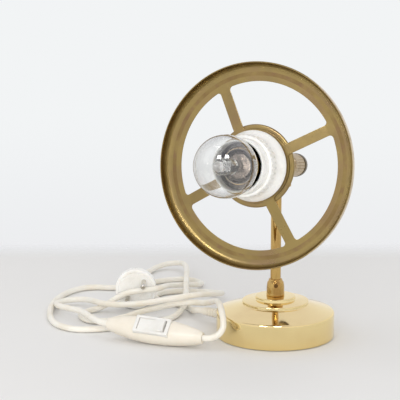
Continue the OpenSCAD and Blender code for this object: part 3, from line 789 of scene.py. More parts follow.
class Part:
    """A sub-assembly, whose pieces are modelled in its axes and ride on its body."""

    axes: Matrix = FOOT_AXES
    body: Body = Body.FOOT

    def piece(
        self, name: str, bm: Shape, finish: Finish, node: str, slot: str,
        sharp: float = 32.0, axes: Matrix | None = None, body: Body | None = None,
    ) -> Object:
        """Makes a finished piece from a shape in millimetres.

        Args:
            name: the piece's name.
            bm: its shape, which is used up.
            finish: its finish.
            node: the CAD node that it stands for.
            slot: the record's material slot; not used.
            sharp: edges steeper than this, in degrees, stay crisp.
            axes: the shape's own axes, where they aren't this part's.
            body: the body that it rides on, where that isn't this part's.

        Returns:
            The object, at the origin, with its place in its mesh.
        """
        mesh = mesh_of(name, moved(bm, (axes or self.axes) @ Matrix.Scale(MM, 4)))
        shade(mesh, sharp)
        mesh.materials.append(finish.build())
        obj = put(name, mesh)
        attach(obj, (body or self.body).value)
        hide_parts(node)
        log.info("%s: %d faces", name, len(mesh.polygons))
        return obj

    def paint(self, obj: Object, finish: Finish, chosen: Callable[[float, float, Vector], bool]) -> None:
        """Gives some faces of a piece a second finish.

        Args:
            obj: the piece.
            finish: the finish that the chosen faces get.
            chosen: tells from a face's radius, height and normal in this part's axes whether it
                gets the finish.
        """
        obj.data.materials.append(finish.build())
        index = len(obj.data.materials) - 1
        back = self.axes.inverted()
        turn = back.to_3x3()
        for face in obj.data.polygons:
            at = back @ face.center / MM
            if chosen(math.hypot(at.x, at.y), at.z, turn @ face.normal):
                face.material_index = index

    def cut(self, obj: Object, tool: Shape, sharp: float, axes: Matrix | None = None) -> None:
        """Cuts a shape out of a piece.

        Args:
            obj: the piece.
            tool: the shape that is taken away, in millimetres.
            sharp: edges steeper than this, in degrees, stay crisp.
            axes: the tool's own axes, where they aren't this part's.
        """
        mesh = mesh_of("tool", moved(tool, (axes or self.axes) @ Matrix.Scale(MM, 4)))
        cutter = put("tool", mesh)
        step = obj.modifiers.new("cut", "BOOLEAN")
        step.object = cutter
        step.solver = "EXACT"
        bpy.context.view_layer.update()
        graph = bpy.context.evaluated_depsgraph_get()
        result = bpy.data.meshes.new_from_object(obj.evaluated_get(graph))
        obj.modifiers.clear()
        obj.data = result
        bpy.data.objects.remove(cutter)
        bpy.data.meshes.remove(mesh)
        shade(result, sharp)


# Foot and stem


@dataclass
class Foot(Part):
    """Spun foot cover, bell collar and cord relief."""

    rim_z: float = BASE_H - 11.5
    step1_r: float = 25.7
    step1_rise: float = 5.9
    step1_top: float = BASE_H - 3.5
    step2_r: float = 15.5
    step2_low: float = BASE_H - 2.6
    rim_round: float = 2.0
    edge_round: float = 0.8
    bore: float = 5.05
    tube_bore: float = 4.07
    cord_hole_r: float = 4.6
    screw_hole_r: float = 1.55
    screw_dir: tuple[float, float] = (0.426, -0.905)
    screw_z: float = BASE_H + 8.8
    relief_bore: float = 2.45
    relief_ribs: int = 5
    rib_pitch: float = 2.6

    def build(self) -> None:
        """Builds the visible pieces of the foot."""
        self._cover()
        self._collar()
        self._relief()

    def _cover(self) -> None:
        """Spins the stepped cover and lets the cord out of it."""
        t, top, turn = SHEET, BASE_H, self.edge_round
        rim, step1 = self.rim_z, self.rim_z + self.step1_rise
        outer = [(BASE_R - 0.5, 0.4), (BASE_R - 0.15, 0.55), (BASE_R, 0.9)]
        outer += arc(BASE_R - self.rim_round, rim - self.rim_round, self.rim_round, 0, 72, 10)
        outer += [(35, rim + 2.75), (self.step1_r + 0.9, rim + 5.35), (self.step1_r + 0.3, rim + 5.6)]
        outer += [(self.step1_r, step1)]
        outer += arc(self.step1_r - turn, self.step1_top - turn, turn, 0, 88, 6)
        outer += [(self.step2_r + 0.6, top - 2.68), (self.step2_r + 0.15, self.step2_low)]
        outer += [(self.step2_r, top - 2.4)]
        outer += arc(self.step2_r - turn, top - turn, turn, 0, 90, 6)
        outer += [(self.bore, top)]
        inner = [(self.bore, top - t), (self.step2_r - t, top - t), (self.step2_r - t, self.step2_low - t)]
        inner += [(self.step1_r - t, self.step1_top - t), (self.step1_r - t, step1 - t)]
        inner += [(BASE_R - self.rim_round, rim + 0.1 - t), (BASE_R - t, rim - self.rim_round)]
        inner += [(BASE_R - t, 0.4)]
        shape = revolve(outer + inner, 192)
        cover = self.piece("foot_cover", shape, POLISHED_BRASS, "base_cover", "polished_brass")
        self.cut(cover, rod(self.cord_hole_r, BASE_R - 6, BASE_R + 4), 40, EXIT_AXES)

    def _collar(self) -> None:
        """Turns the bell collar and drills it for its set screw."""
        z = BASE_H
        outer = [(self.bore, z + GAP), (6.6, z + GAP), (6.95, z + 0.35), (7.0, z + 1.2)]
        outer += smooth_line([(6.85, z + 2.0), (6.85, z + 4.4), (6.75, z + 7.2), (6.5, z + 9.3)], 4)
        outer += arc(5.1, z + 10.1, 1.25, 10, 62, 5)
        outer += [(5.35, z + 11.9), (5.2, z + 12.2)]
        outer += arc(4.75, z + 12.6, 0.5, 0, 90, 4)
        outer += [(self.tube_bore, z + 13.1), (self.tube_bore, z + 6.45), (self.bore, z + 5.8)]
        collar = self.piece("stem_collar", revolve(outer, 96), DRAWN_BRASS, "bell_collar", "polished_brass")
        side = math.degrees(math.atan2(self.screw_dir[1], self.screw_dir[0]))
        drill = turned(side, "Z") @ shifted(0, 0, self.screw_z) @ turned(90, "Y")
        self.cut(collar, rod(self.screw_hole_r, 3, 9, 0.05), 35, drill)

    def _relief(self) -> None:
        """Moulds the tapered relief that the cord leaves through."""
        ribs = []
        for i in range(self.relief_ribs):
            at, r = BASE_R + 5 + self.rib_pitch * i, 4.1 - 0.18 * i
            ribs += [(r, at), (r - 0.02, at + 1.5), (r - 0.75, at + 1.6), (r - 0.77, at + 2.5)]
        bore, end = self.relief_bore, BASE_R + RELIEF_L
        outer = [(bore, BASE_R - 3.2), (5.6, BASE_R - 3.2), (5.6, BASE_R - 1.9), (4.5, BASE_R - 1.9)]
        outer += [(4.5, BASE_R + 0.4), (5.2, BASE_R + 0.4), (5.4, BASE_R + 0.8), (5.2, BASE_R + 2.0)]
        outer += [(4.9, BASE_R + 2.4), (4.2, BASE_R + 3.0), *ribs]
        outer += [(3.0, BASE_R + 18.6), (3.0, end - 0.3), (2.8, end), (bore, end)]
        shape = revolve(outer, 48)
        self.piece("foot_cord_relief", shape, CREAM_SHEATH, "cord_relief", "cream_flex", axes=EXIT_AXES)


@dataclass
class Stem(Part):
    """Drawn stem tube."""

    body = Body.STEM

    radius: float = 4.0
    wall: float = 0.8
    low: float = BASE_H + 6.45
    high: float = PIVOT_H - 16.2
    edge: float = 0.2

    def build(self) -> None:
        """Draws the tube with its lightly broken ends."""
        r, inside, e = self.radius, self.radius - self.wall, self.edge
        outline = [(inside, self.low), (r - e, self.low), (r, self.low + e)]
        outline += [(r, self.high - e), (r - e, self.high), (inside, self.high)]
        self.piece("stem_drawn_tube", revolve(outline, 72), DRAWN_BRASS, "stem_tube", "polished_brass")


@dataclass
class Hinge(Part):
    """CAD nodes that show at the back of the head, with their edges broken as machined."""

    shown: dict[str, Object]
    bevel: float = 0.35
    flat_within: float = 1.5
    crease: float = 40.0

    def build(self) -> None:
        """Copies each node, welds it and breaks its edges."""
        for name, body in (
            ("stem_fork", Body.STEM),
            ("pivot_block", Body.HEAD),
            ("pivot_screws", Body.HEAD),
        ):
            bm = bmesh.new()
            bm.from_mesh(self.shown[name].data)
            bmesh.ops.remove_doubles(bm, verts=bm.verts, dist=1e-6)
            flat = math.radians(self.flat_within)
            bmesh.ops.dissolve_limit(bm, angle_limit=flat, verts=bm.verts, edges=bm.edges)
            shape = moved(bm, Matrix.Scale(1 / MM, 4))
            obj = self.piece(f"{name}_dressed", shape, MACHINED_BRASS, name, "plain_brass", body=body)
            soft = obj.modifiers.new("broken_edges", "BEVEL")
            soft.width = self.bevel * MM
            soft.segments = 2
            soft.limit_method = "ANGLE"
            soft.angle_limit = math.radians(self.crease)
            soft.harden_normals = True


# Head


class HeadPart(Part):
    """A sub-assembly of the head."""

    axes = HEAD_AXES
    body = Body.HEAD


@dataclass
class Wheel(HeadPart):
    """Pressed brass wheel: hub ring, four rising spokes and the outer ring with its flange."""

    hub_r: float = 27.2
    flat_r: float = 31.0
    hole_r: float = 20.5
    ring_in: float = 62.0
    joint_r: float = 66.0
    outer_r: float = 76.0
    corner_r: float = 6.0
    flange_h: float = 7.5
    spokes: int = 4
    spoke_w: float = 8.0
    spoke_dir: float = 29.0
    fillet: float = 2.5
    ring_gap: float = 1.6
    hub_gap: float = 2.0
    edge: float = 0.22
    steps: int = 240
    flange_shade_w: float = 4.6
    curve_shade_w: float = 3.0
    reflection_w: float = 0.6

    def build(self) -> None:
        """Presses the wheel from its plate and its ring, and paints shade and a reflection on its ring and
        flange.
        """
        bm = join(self._plate(), self._ring())
        bmesh.ops.remove_doubles(bm, verts=bm.verts, dist=1e-3)
        bmesh.ops.recalc_face_normals(bm, faces=bm.faces)
        wheel = self.piece("wheel_pressed", bm, SATIN_BRASS, "spoked_wheel", "satin_brass", sharp=38.0)
        edge, curve = self.outer_r, self.joint_r
        for finish, chosen in (
            (
                # painted shade on the inside wall of the flange and its curve
                FLANGE_PAINTED_SHADE,
                lambda r, z, n: edge - self.flange_shade_w < r < edge - 0.1 and n.z < 0.86 and z > WHEEL_Z + 0.4,
            ),
            # painted shade along the line where the ring starts to curve
            (CURVE_PAINTED_SHADE, lambda r, z, n: curve < r < curve + self.curve_shade_w and z > WHEEL_Z - 0.3),
            # painted reflection on the side of the outside wall that faces +X
            (WALL_PAINTED_REFLECTION, lambda r, z, n: r > edge - self.reflection_w and z > WHEEL_Z + 2 and n.x > 0.5),
        ):
            self.paint(wheel, finish, chosen)
        flat = wheel.modifiers.new("flat_faces", "WEIGHTED_NORMAL")
        flat.keep_sharp = True

    def _window(self, turn: float) -> Profile:
        """Outline of the opening between two spokes.

        The gaps keep the ends of its two long arcs off the fillets, in degrees.

        Args:
            turn: direction of the first of the two spokes in degrees.

        Returns:
            The outline's points, anticlockwise.
        """
        w, r = self.spoke_w / 2, self.fillet
        near = math.sqrt((self.hub_r + r) ** 2 - (w + r) ** 2)
        far = math.sqrt((self.ring_in - r) ** 2 - (w + r) ** 2)
        near_a = math.degrees(math.atan2(w + r, near))
        far_a = math.degrees(math.atan2(w + r, far))
        line = arc(near, w + r, r, 180 + near_a, 270, 7)
        line += [(near + (far - near) * k / 10, w) for k in range(1, 10)]
        line += arc(far, w + r, r, -90, far_a, 9)
        line += arc(0, 0, self.ring_in, far_a + self.ring_gap, 90 - self.ring_gap - far_a, 44)
        line += arc(w + r, far, r, 90 - far_a, 180, 9)
        line += [(w, far + (near - far) * k / 10) for k in range(1, 10)]
        line += arc(w + r, near, r, 180, 270 - near_a, 7)
        line += arc(0, 0, self.hub_r, 90 - self.hub_gap - near_a, near_a + self.hub_gap, 24)
        c, s = math.cos(math.radians(turn)), math.sin(math.radians(turn))
        return [(x * c - y * s, x * s + y * c) for x, y in line]

    def _plate(self) -> Shape:
        """Cuts the plate with its windows and hub hole, raises its hub and gives it its thickness.

        Returns:
            The plate, open at its rim, where the ring joins it.
        """
        bm = bmesh.new()
        for k in range(self.spokes):
            window = self._window(self.spoke_dir + 360 / self.spokes * k)
            verts = [bm.verts.new((x, y, WHEEL_Z)) for x, y in window]
            for pair in zip(verts, verts[1:] + verts[:1]):
                bm.edges.new(pair)
        level = Matrix.Translation((0, 0, WHEEL_Z))
        for radius, count in ((self.hole_r, 96), (self.joint_r, self.steps)):
            bmesh.ops.create_circle(bm, segments=count, radius=radius, matrix=level)
        bmesh.ops.triangle_fill(bm, edges=bm.edges, use_beauty=True, normal=(0, 0, 1))
        for vert in bm.verts:
            vert.co.z += HUB_RISE * self._rise(vert.co.xy.length)
        thicken(bm, bm.faces[:], (0, 0, -SHEET))
        outside = (f for f in bm.faces if all(v.co.xy.length > self.joint_r - 0.3 for v in f.verts))
        rim = [f for f in outside if abs(f.calc_center_median().z - WHEEL_Z + SHEET / 2) < 0.2]
        bmesh.ops.delete(bm, geom=rim, context="FACES_ONLY")
        bmesh.ops.recalc_face_normals(bm, faces=bm.faces)
        steep = steep_edges(bm, 60)
        around = [e for e in steep if abs(e.verts[0].co.z - e.verts[1].co.z) < 0.4 * e.calc_length()]
        soften(bm, around, self.edge, 2)
        return bm

    def _rise(self, r: float) -> float:
        """Share of the hub's rise that the sheet has reached at a radius."""
        return min(1.0, max(0.0, (self.ring_in + 0.6 - r) / (self.ring_in + 0.6 - self.flat_r)))

    def _ring(self) -> Shape:
        """Spins the ring from the plate's edge out over the flange.

        Returns:
            The ring, open where the plate joins it.
        """
        centre, low = self.outer_r - self.corner_r, WHEEL_Z - SHEET
        tip = WHEEL_Z + self.flange_h
        face = [(self.joint_r + (centre - self.joint_r) * i / 4, WHEEL_Z) for i in range(5)]
        line = face + arc(centre, low + self.corner_r, self.corner_r - SHEET, -82, 0, 14)
        line += [(self.outer_r - SHEET, tip - 0.35), (self.outer_r - SHEET + 0.25, tip)]
        line += [(self.outer_r - 0.25, tip), (self.outer_r, tip - 0.35)]
        line += arc(centre, low + self.corner_r, self.corner_r, 0, -82, 16)
        line += [(r, z - SHEET) for r, z in reversed(face)]
        return revolve(line, self.steps, closed=False)


@dataclass
class Cup(HeadPart):
    """Spun brass cup that closes the head behind the wheel."""

    back: float = 8.0
    rim_r: float = 30.5
    bore: float = 5.1
    lip: float = 1.5

    def build(self) -> None:
        """Spins the cup with its rolled lip."""
        b, t, rim, lip = self.back, SHEET, self.rim_r, self.lip
        front = HUB_Z - SHEET - GAP
        wall = [(9, b), (12.5, b + 1.4), (16.5, b + 5), (21, b + 12.6), (25.2, b + 21.4)]
        wall += [(28.4, b + 28.6), (rim - 0.9, front - 4.2)]
        outer = [(self.bore, b)] + smooth_line(wall, 4)
        outer += arc(rim - lip, front - lip, lip, 0, 90, 6)
        outer += [(27.4, front), (27.2, front - 0.5), (26.8, front - 0.5), (26.4, front), (25.2, front)]
        hollow = [(rim - 0.9 - 0.92 * t, front - 4.2 + 0.35 * t)]
        hollow += [(28.4 - 0.9 * t, b + 28.6 + 0.43 * t)]
        hollow += [(25.2 - 0.9 * t, b + 21.4 + 0.42 * t), (21 - 0.88 * t, b + 12.6 + 0.47 * t)]
        hollow += [(16.5 - 0.77 * t, b + 5 + 0.63 * t), (12.5 - 0.52 * t, b + 1.4 + 0.84 * t), (9, b + t)]
        inner = [(25.2, front - t), (rim - 2.0, front - t)] + smooth_line(hollow, 3)
        inner += [(self.bore, b + t)]
        self.piece("cup_spun", revolve(outer + inner, 160), SATIN_BRASS, "rear_cup", "satin_brass")


@dataclass
class Holder(HeadPart):
    """White lamp holder and the ribbed ring that clamps the wheel to it."""

    base_z: float = 12.2
    mouth_z: float = 75.2
    mouth_r: float = 18.4
    bore_r: float = 16.0
    nipple_r: float = 5.05
    bore_shade_low: float = 28.0
    bore_shade_z: float = 68.0
    ring_r: float = SKIRT_R + 2.3
    ring_l: float = 21.0
    flange_r: float = 26.1
    ribs: int = 36
    rib_size: Point = (1.0, 1.5, 7.0)

    def build(self) -> None:
        """Moulds the skirt and the ring."""
        self._skirt()
        self._ring()

    def _skirt(self) -> None:
        """Spins the holder, with a groove in its rim, and paints shade deep in its bore."""
        b, m, r = self.base_z, self.mouth_z, self.mouth_r
        shoulder = HUB_Z - SHEET
        outline = [(self.nipple_r, b), (9, b), (12.5, b + 2.4), (16.5, b + 8), (18, b + 13)]
        outline += [(18, shoulder - 4.4), (22.8, shoulder - 3.4), (22.8, shoulder - GAP)]
        outline += [(SKIRT_R, shoulder - GAP), (SKIRT_R, m - 0.8)]
        outline += arc(SKIRT_R - 0.8, m - 0.8, 0.8, 0, 90, 5)[1:]
        outline += [(19.15, m), (19.05, m - 0.9), (18.75, m - 0.9), (18.7, m)]
        outline += [(r + 0.2, m), (r + 0.05, m - 0.1), (r, m - 0.4), (r, m - 3), (r, self.bore_shade_z)]
        outline += [(r, m - 8), (self.bore_r, m - 12), (self.bore_r, 30), (14, 27), (14, b + 8)]
        outline += [(11, b + 6.8), (self.nipple_r, b + 6.8)]
        skirt = self.piece("holder_skirt", revolve(outline), WHITE_PLASTIC, "holder_body", "white_plastic")
        # painted shade on the bore's wall below the mouth
        low, high = self.bore_shade_low, self.bore_shade_z + 0.01
        self.paint(skirt, BORE_PAINTED_SHADE, lambda r, z, n: r < self.mouth_r - 0.03 and low < z < high)

    def _ring(self) -> None:
        """Spins the ring and sets its faint grip ribs round it."""
        z0, c, f = HUB_Z + GAP, self.ring_r, self.flange_r
        z1 = z0 + self.ring_l
        outline = [(SKIRT_R + GAP, z0), (f - 1.6, z0), (f - 0.5, z0 + 1.1)]
        outline += smooth_line([(f, z0 + 2.2), (f - 0.1, z0 + 3.2), (f - 1.1, z0 + 5.6)], 3)
        outline += smooth_line([(c + 1.5, z0 + 7.6), (c + 0.7, z0 + 9.4), (c, z0 + 12.4)], 3)
        outline += [(c - 0.15, z1 - 1.3)]
        outline += arc(c - 1.15, z1 - 1.0, 1.0, 5, 85, 5)
        outline += [(SKIRT_R + 0.35, z1), (SKIRT_R + GAP, z1 - 0.4)]
        ribs = [
            moved(block(self.rib_size, (c - 0.3, 0, z0 + 16.1), 0.32, 2), turned(360 * i / self.ribs, "Z"))
            for i in range(self.ribs)
        ]
        shape = join(revolve(outline), *ribs)
        self.piece("shade_ring_ribbed", shape, WHITE_PLASTIC, "shade_ring", "white_plastic")


@dataclass
class Bulb(HeadPart):
    """Clear round bulb with a quartz burner inside."""

    globe_r: float = 22.5
    globe_z: float = 96.0
    neck_r: float = 11.6
    neck_l: float = 24.0
    glass: float = 0.8
    cap_r: float = 12.65
    cap_z: float = 50.0
    thread_z: float = 51.0
    thread_h: float = 0.35
    pitch: float = 3.6
    frosted_z: float = 107.4
    leg_x: float = 2.6
    coil_turns: int = 11
    coil_r: float = 0.75
    coil_half: float = 3.0
    coil_z: float = 95.6
    coil_wire_r: float = 0.14

    def build(self) -> None:
        """Blows the glass and fits the cap, burner, mount and filament."""
        self._globe()
        self._cap()
        self._burner()
        self._mount()
        self._filament()

    def _shell(self, r: float, n: float) -> Profile:
        """Half outline of a ball that runs tangent into a neck.

        Args:
            r: radius of the ball.
            n: radius of the neck.

        Returns:
            Radius and height of its points, from the neck to the crown.
        """
        a = math.degrees(math.atan2(n, self.neck_l) + math.acos(r / math.hypot(n, self.neck_l)))
        turns = [math.radians(a + (180 - a) * i / 40) for i in range(41)]
        return [(r * math.sin(t), self.globe_z - r * math.cos(t)) for t in turns]

    def _globe(self) -> None:
        """Spins the glass wall."""
        low, n, t = self.globe_z - self.neck_l, self.neck_r, self.glass
        inside = self._shell(self.globe_r - t, n - t)
        bend = smooth_line([(n, low - 1.2), (n + 0.35, low + 0.9), (n + 1.3, low + 2.9)], 4)
        bend_in = [(x - t, z) for x, z in bend]
        outline = [(n, low - 9), *bend, *self._shell(self.globe_r, n)]
        outline += [*reversed(inside), *reversed(bend_in), (n - t, low - 9)]
        self.piece("bulb_glass", revolve(outline), BULB_GLASS, "bulb_globe", "clear_glass", sharp=60.0)

    def _wave(self, z: float) -> float:
        """Height of the rolled thread at a place along the cap."""
        return self.thread_h * math.cos(math.tau * (z - self.thread_z) / self.pitch)

    def _cap(self) -> None:
        """Rolls the threaded cap."""
        low, r = self.cap_z, self.cap_r
        steps = [self.thread_z + 0.45 * i for i in range(41)]
        outline = [(9.5, low), (12.2, low)]
        outline += [(r + self._wave(z), z) for z in steps]
        outline += [(13.2, 70.4), (13.2, 71.8), (12.9, 71.8), (12.7, 70.4)]
        outline += [(r - 0.35 + self._wave(z), z) for z in reversed(steps)]
        outline += [(11.9, low + 0.4), (9.5, low + 0.4)]
        self.piece("bulb_rolled_cap", revolve(outline, 96), NICKEL, "bulb_cap", "nickel")

    def _burner(self) -> None:
        """Spins the quartz burner and frosts its tip."""
        outer = [(0, 80), (3.0, 80), (4.6, 80.6), (5.6, 82.2), (6, 84), (6, 101)]
        outer += smooth_line([(5.9, 102.6), (5.1, 105.2), (3.8, 107.6), (2.9, 109.6), (2.5, 111.6)], 3)
        outer += [(2.2, 112.7), (1.6, 113.3), (0.8, 113.6), (0, 113.6)]
        inner = [(0, 106.4), (1.6, 106.1), (3.6, 104.4), (4.7, 102.2), (5, 100), (5, 85)]
        inner += [(3.6, 83.6), (0, 83.4)]
        shape = revolve(outer + inner, 64)
        burner = self.piece("bulb_burner", shape, QUARTZ, "bulb_capsule", "quartz_glass", sharp=60.0)
        self.paint(burner, FROSTED_TIP, lambda r, z, n: z > self.frosted_z)

    def _legs(self, radius: float, low: float, high: float, bevel: float, sides: int) -> list[Shape]:
        """A pair of wires that stand beside the axis."""
        places = (Matrix.Translation((side * self.leg_x, 0, 0)) for side in (-1, 1))
        return [moved(rod(radius, low, high, bevel, sides), place) for place in places]

    def _mount(self) -> None:
        """Sets the silvered flare, the heat disc and the support wires in the neck."""
        n = self.neck_r - self.glass - 0.3
        cone = [(0, 63), (n, 63), (n, 70.4), (n - 0.3, 70.4), (n - 0.6, 64.8), (7.4, 66), (5.4, 68)]
        cone += [(4.4, 71), (4.0, 76), (0, 76.4)]
        disc = revolve([(3.6, 72.6), (8.9, 71.3), (9.1, 71.7), (3.6, 73.1)], 64)
        shape = join(revolve(cone, 48), disc, *self._legs(0.55, 60, 83.2, 0.1, 16))
        self.piece("bulb_mount", shape, SILVERED_MOUNT, "bulb_wires", "plated_steel")

    def _filament(self) -> None:
        """Winds the coil from short links and stands it on its two legs."""
        whole, half, r, wire = math.tau * self.coil_turns, self.coil_half, self.coil_r, self.coil_wire_r
        count = self.coil_turns * 12
        turns = [whole * i / count for i in range(count + 1)]
        line = [
            Vector((-half + 2 * half * a / whole, r * math.cos(a), self.coil_z + r * math.sin(a)))
            for a in turns
        ]
        coil = bmesh.new()
        for near, far in zip(line, line[1:]):
            way = far - near
            lean = way.to_track_quat("Z", "Y").to_matrix().to_4x4()
            place = Matrix.Translation((near + far) / 2) @ lean
            bmesh.ops.create_cone(
                coil, cap_ends=True, segments=6, radius1=wire, radius2=wire,
                depth=way.length * 1.1, matrix=place,
            )
        shape = join(coil, *self._legs(0.3, 83.3, 95.2, 0.05, 12))
        self.piece("bulb_coil", shape, TUNGSTEN, "bulb_filament", "plated_steel")


@dataclass
class Knob(HeadPart):
    """Fluted knob on its stud behind the head."""

    body = Body.KNOB

    radius: float = 9.0
    flutes: int = 22
    front: float = -19.0
    back: float = -45.0
    rim_z: float = -36.6
    groove: float = 0.65
    dome: float = 3.0

    def build(self) -> None:
        """Lofts the fluted barrel, its smooth collar and its dome, and darkens the smooth end."""
        r, front, rim = self.radius, self.front, self.rim_z
        marks = [(front, r - 1.2, 0.0), (front - 0.3, r - 0.6, 0.0), (front - 0.9, r - 0.15, 0.3)]
        marks += [(front - 1.6, r, 1.0), (front - 8.0, r, 1.0)]
        marks += [(rim + 0.9, r, 1.0), (rim + 0.3, r - 0.05, 0.5), (rim, r - 0.1, 0.0)]
        marks += [(rim - 0.9, r + 0.25, 0.0), (rim - 2.9, r + 0.25, 0.0), (rim - 4.2, r + 0.1, 0.0)]
        for a in (math.radians(degrees) for degrees in range(8, 81, 12)):
            marks.append((self.back + self.dome - self.dome * math.sin(a), r * math.cos(a) ** 0.8, 0.0))
        shape = loft(marks, self._section, self.flutes * 10)
        knob = self.piece("knob_fluted", shape, BRONZED_KNOB, "fluted_knob", "satin_brass", sharp=50.0)
        self.paint(knob, DARK_KNOB_END, lambda r, z, n: z < self.rim_z)

    def _section(self, mark: Point, angle: float) -> Point:
        """Point of the knob's surface.

        Args:
            mark: height, radius, and the share of their full depth that the flutes have there.
            angle: angle round the knob in radians.

        Returns:
            The point.
        """
        z, radius, depth = mark
        at = radius - self.groove * depth * abs(math.cos(angle * self.flutes / 2)) ** 6
        return (at * math.cos(angle), at * math.sin(angle), z)


# Cord, switch and plug


@dataclass
class Switch(Part):
    """In-line rocker switch lying on its side, its face towards the viewer."""

    length: float = 78.0
    end_w: float = 4.0
    mid_w: float = 10.0
    mid_t: float = 8.3
    parting: float = 0.12
    centre: Point = (-92.3, -24.45, 9.9)
    turn: float = -21.2
    pitch: float = 2.2
    roll: float = 45.0
    window: tuple[float, float] = (14.1, 7.1)
    window_floor: float = 3.1
    frame_size: Point = (28, 14, 6.2)
    opening: Point = (22.7, 9.84, 12)
    rocker_tilt: float = -7.0
    rocker_z: float = 5.2
    rocker_w: float = 9.7

    @property
    def axes(self) -> Matrix:
        """The switch's own axes: X along the cord, Z out of its face."""
        lie = turned(self.turn, "Z") @ turned(self.pitch, "Y") @ turned(self.roll, "X")
        return PILE_AXES @ shifted(*self.centre) @ lie

    def build(self) -> list[Object]:
        """Moulds the two halves, the frame and the rocker.

        Returns:
            The pieces of the switch.
        """
        return [self._half(True), self._half(False), self._frame(), self._rocker()]

    def _section(self, x: float, angle: float) -> Point:
        """Point of the housing.

        Args:
            x: place along the housing.
            angle: angle round it in radians.

        Returns:
            The point.
        """
        c = math.cos(math.radians(min(90.0, abs(x) * 180 / self.length)))
        w = self.end_w + (self.mid_w - self.end_w) * c**0.8
        t = self.end_w + (self.mid_t - self.end_w) * c**0.6
        ca, sa = math.cos(angle), math.sin(angle)
        return (x, w * math.copysign(abs(ca) ** 0.8, ca), t * math.copysign(abs(sa) ** 0.8, sa))

    def _slice(self, bm: Shape, at: Point, way: Point, clear: bool) -> dict:
        """Cuts a shape's faces along the plane that way stands on, and can clear what is behind it."""
        geom = bm.verts[:] + bm.edges[:] + bm.faces[:]
        return bmesh.ops.bisect_plane(bm, geom=geom, plane_co=at, plane_no=way, clear_inner=clear)

    def _half(self, upper: bool) -> Object:
        """Lofts the housing and keeps one half of it.

        Args:
            upper: whether it is the half with the window for the frame.

        Returns:
            The half.
        """
        bm = loft([-self.length / 2 + self.length * i / 40 for i in range(41)], self._section, 48)
        side, part = (1, "upper") if upper else (-1, "lower")
        cut_away = self._slice(bm, (0, 0, side * self.parting), (0, 0, side), True)
        rim = [g for g in cut_away["geom_cut"] if isinstance(g, bmesh.types.BMEdge)]
        bmesh.ops.contextual_create(bm, geom=rim)
        if upper:
            self._open_window(bm)
        bmesh.ops.recalc_face_normals(bm, faces=bm.faces)
        return self.piece(f"switch_shell_{part}", bm, CREAM_PLASTIC, f"switch_{part}", "cream_plastic")

    def _open_window(self, bm: Shape) -> None:
        """Opens the window in the upper half and gives it its inner walls.

        Args:
            bm: the upper half.
        """
        wide, high = self.window
        for x, y in ((wide, 0), (-wide, 0), (0, high), (0, -high)):
            self._slice(bm, (x, y, 0), (abs(x), abs(y), 0), False)
        middles = ((f, f.calc_center_median()) for f in bm.faces)
        inside = [f for f, at in middles if abs(at.x) < wide and abs(at.y) < high and at.z > 3]
        bmesh.ops.delete(bm, geom=inside, context="FACES")
        lips = [e for e in bm.edges if len(e.link_faces) == 1]
        grown = bmesh.ops.extrude_edge_only(bm, edges=lips)["geom"]
        for vert in (g for g in grown if isinstance(g, bmesh.types.BMVert)):
            vert.co.z = self.window_floor

    def _frame(self) -> Object:
        """Moulds the frame round the rocker.

        Returns:
            The frame.
        """
        shape = block(self.frame_size, (0, 0, 6.3), 0.45, 3)
        # the frame takes the white plastic greyed with painted shade
        obj = self.piece("switch_frame", shape, FRAME_SHADED_PLASTIC, "switch_bezel", "white_plastic")
        self.cut(obj, block(self.opening, (0, 0, 6), 0.4, 3, True), 40)
        return obj

    def _rocker(self) -> Object:
        """Draws out the rocker's outline, rounds its edges and puts it on its pin.

        Returns:
            The rocker.
        """
        right = [(3, -2.6), (10.4, -0.8), (10.75, 4.6), (10.3, 4.9), (7.5, 4.45), (4, 4.05)]
        outline = [(-3, -2.6), *right, (0, 3.9), *((-x, z) for x, z in reversed(right[1:]))]
        bm = bmesh.new()
        face = bm.faces.new([bm.verts.new((x, -self.rocker_w / 2, z)) for x, z in outline])
        thicken(bm, [face], (0, self.rocker_w, 0))
        bmesh.ops.recalc_face_normals(bm, faces=bm.faces)
        soften(bm, steep_edges(bm, 55), 0.35, 3)
        pin = moved(rod(1.2, -5.9, 5.9, 0.1, 24), turned(90, "X"))
        rest = Matrix.Translation((0, 0, self.rocker_z)) @ turned(self.rocker_tilt, "Y")
        shape = moved(join(bm, pin), rest)
        # the rocker takes the white plastic greyed with painted shade
        return self.piece(
            "switch_key", shape, FRAME_SHADED_PLASTIC, "switch_rocker", "white_plastic", body=Body.ROCKER
        )

    def end(self, side: int) -> Vector:
        """Middle of an end face in the pile's axes, -1 for the left end and 1 for the right."""
        return PILE_AXES.inverted() @ self.axes @ Vector((side * self.length / 2 * MM, 0, 0)) / MM


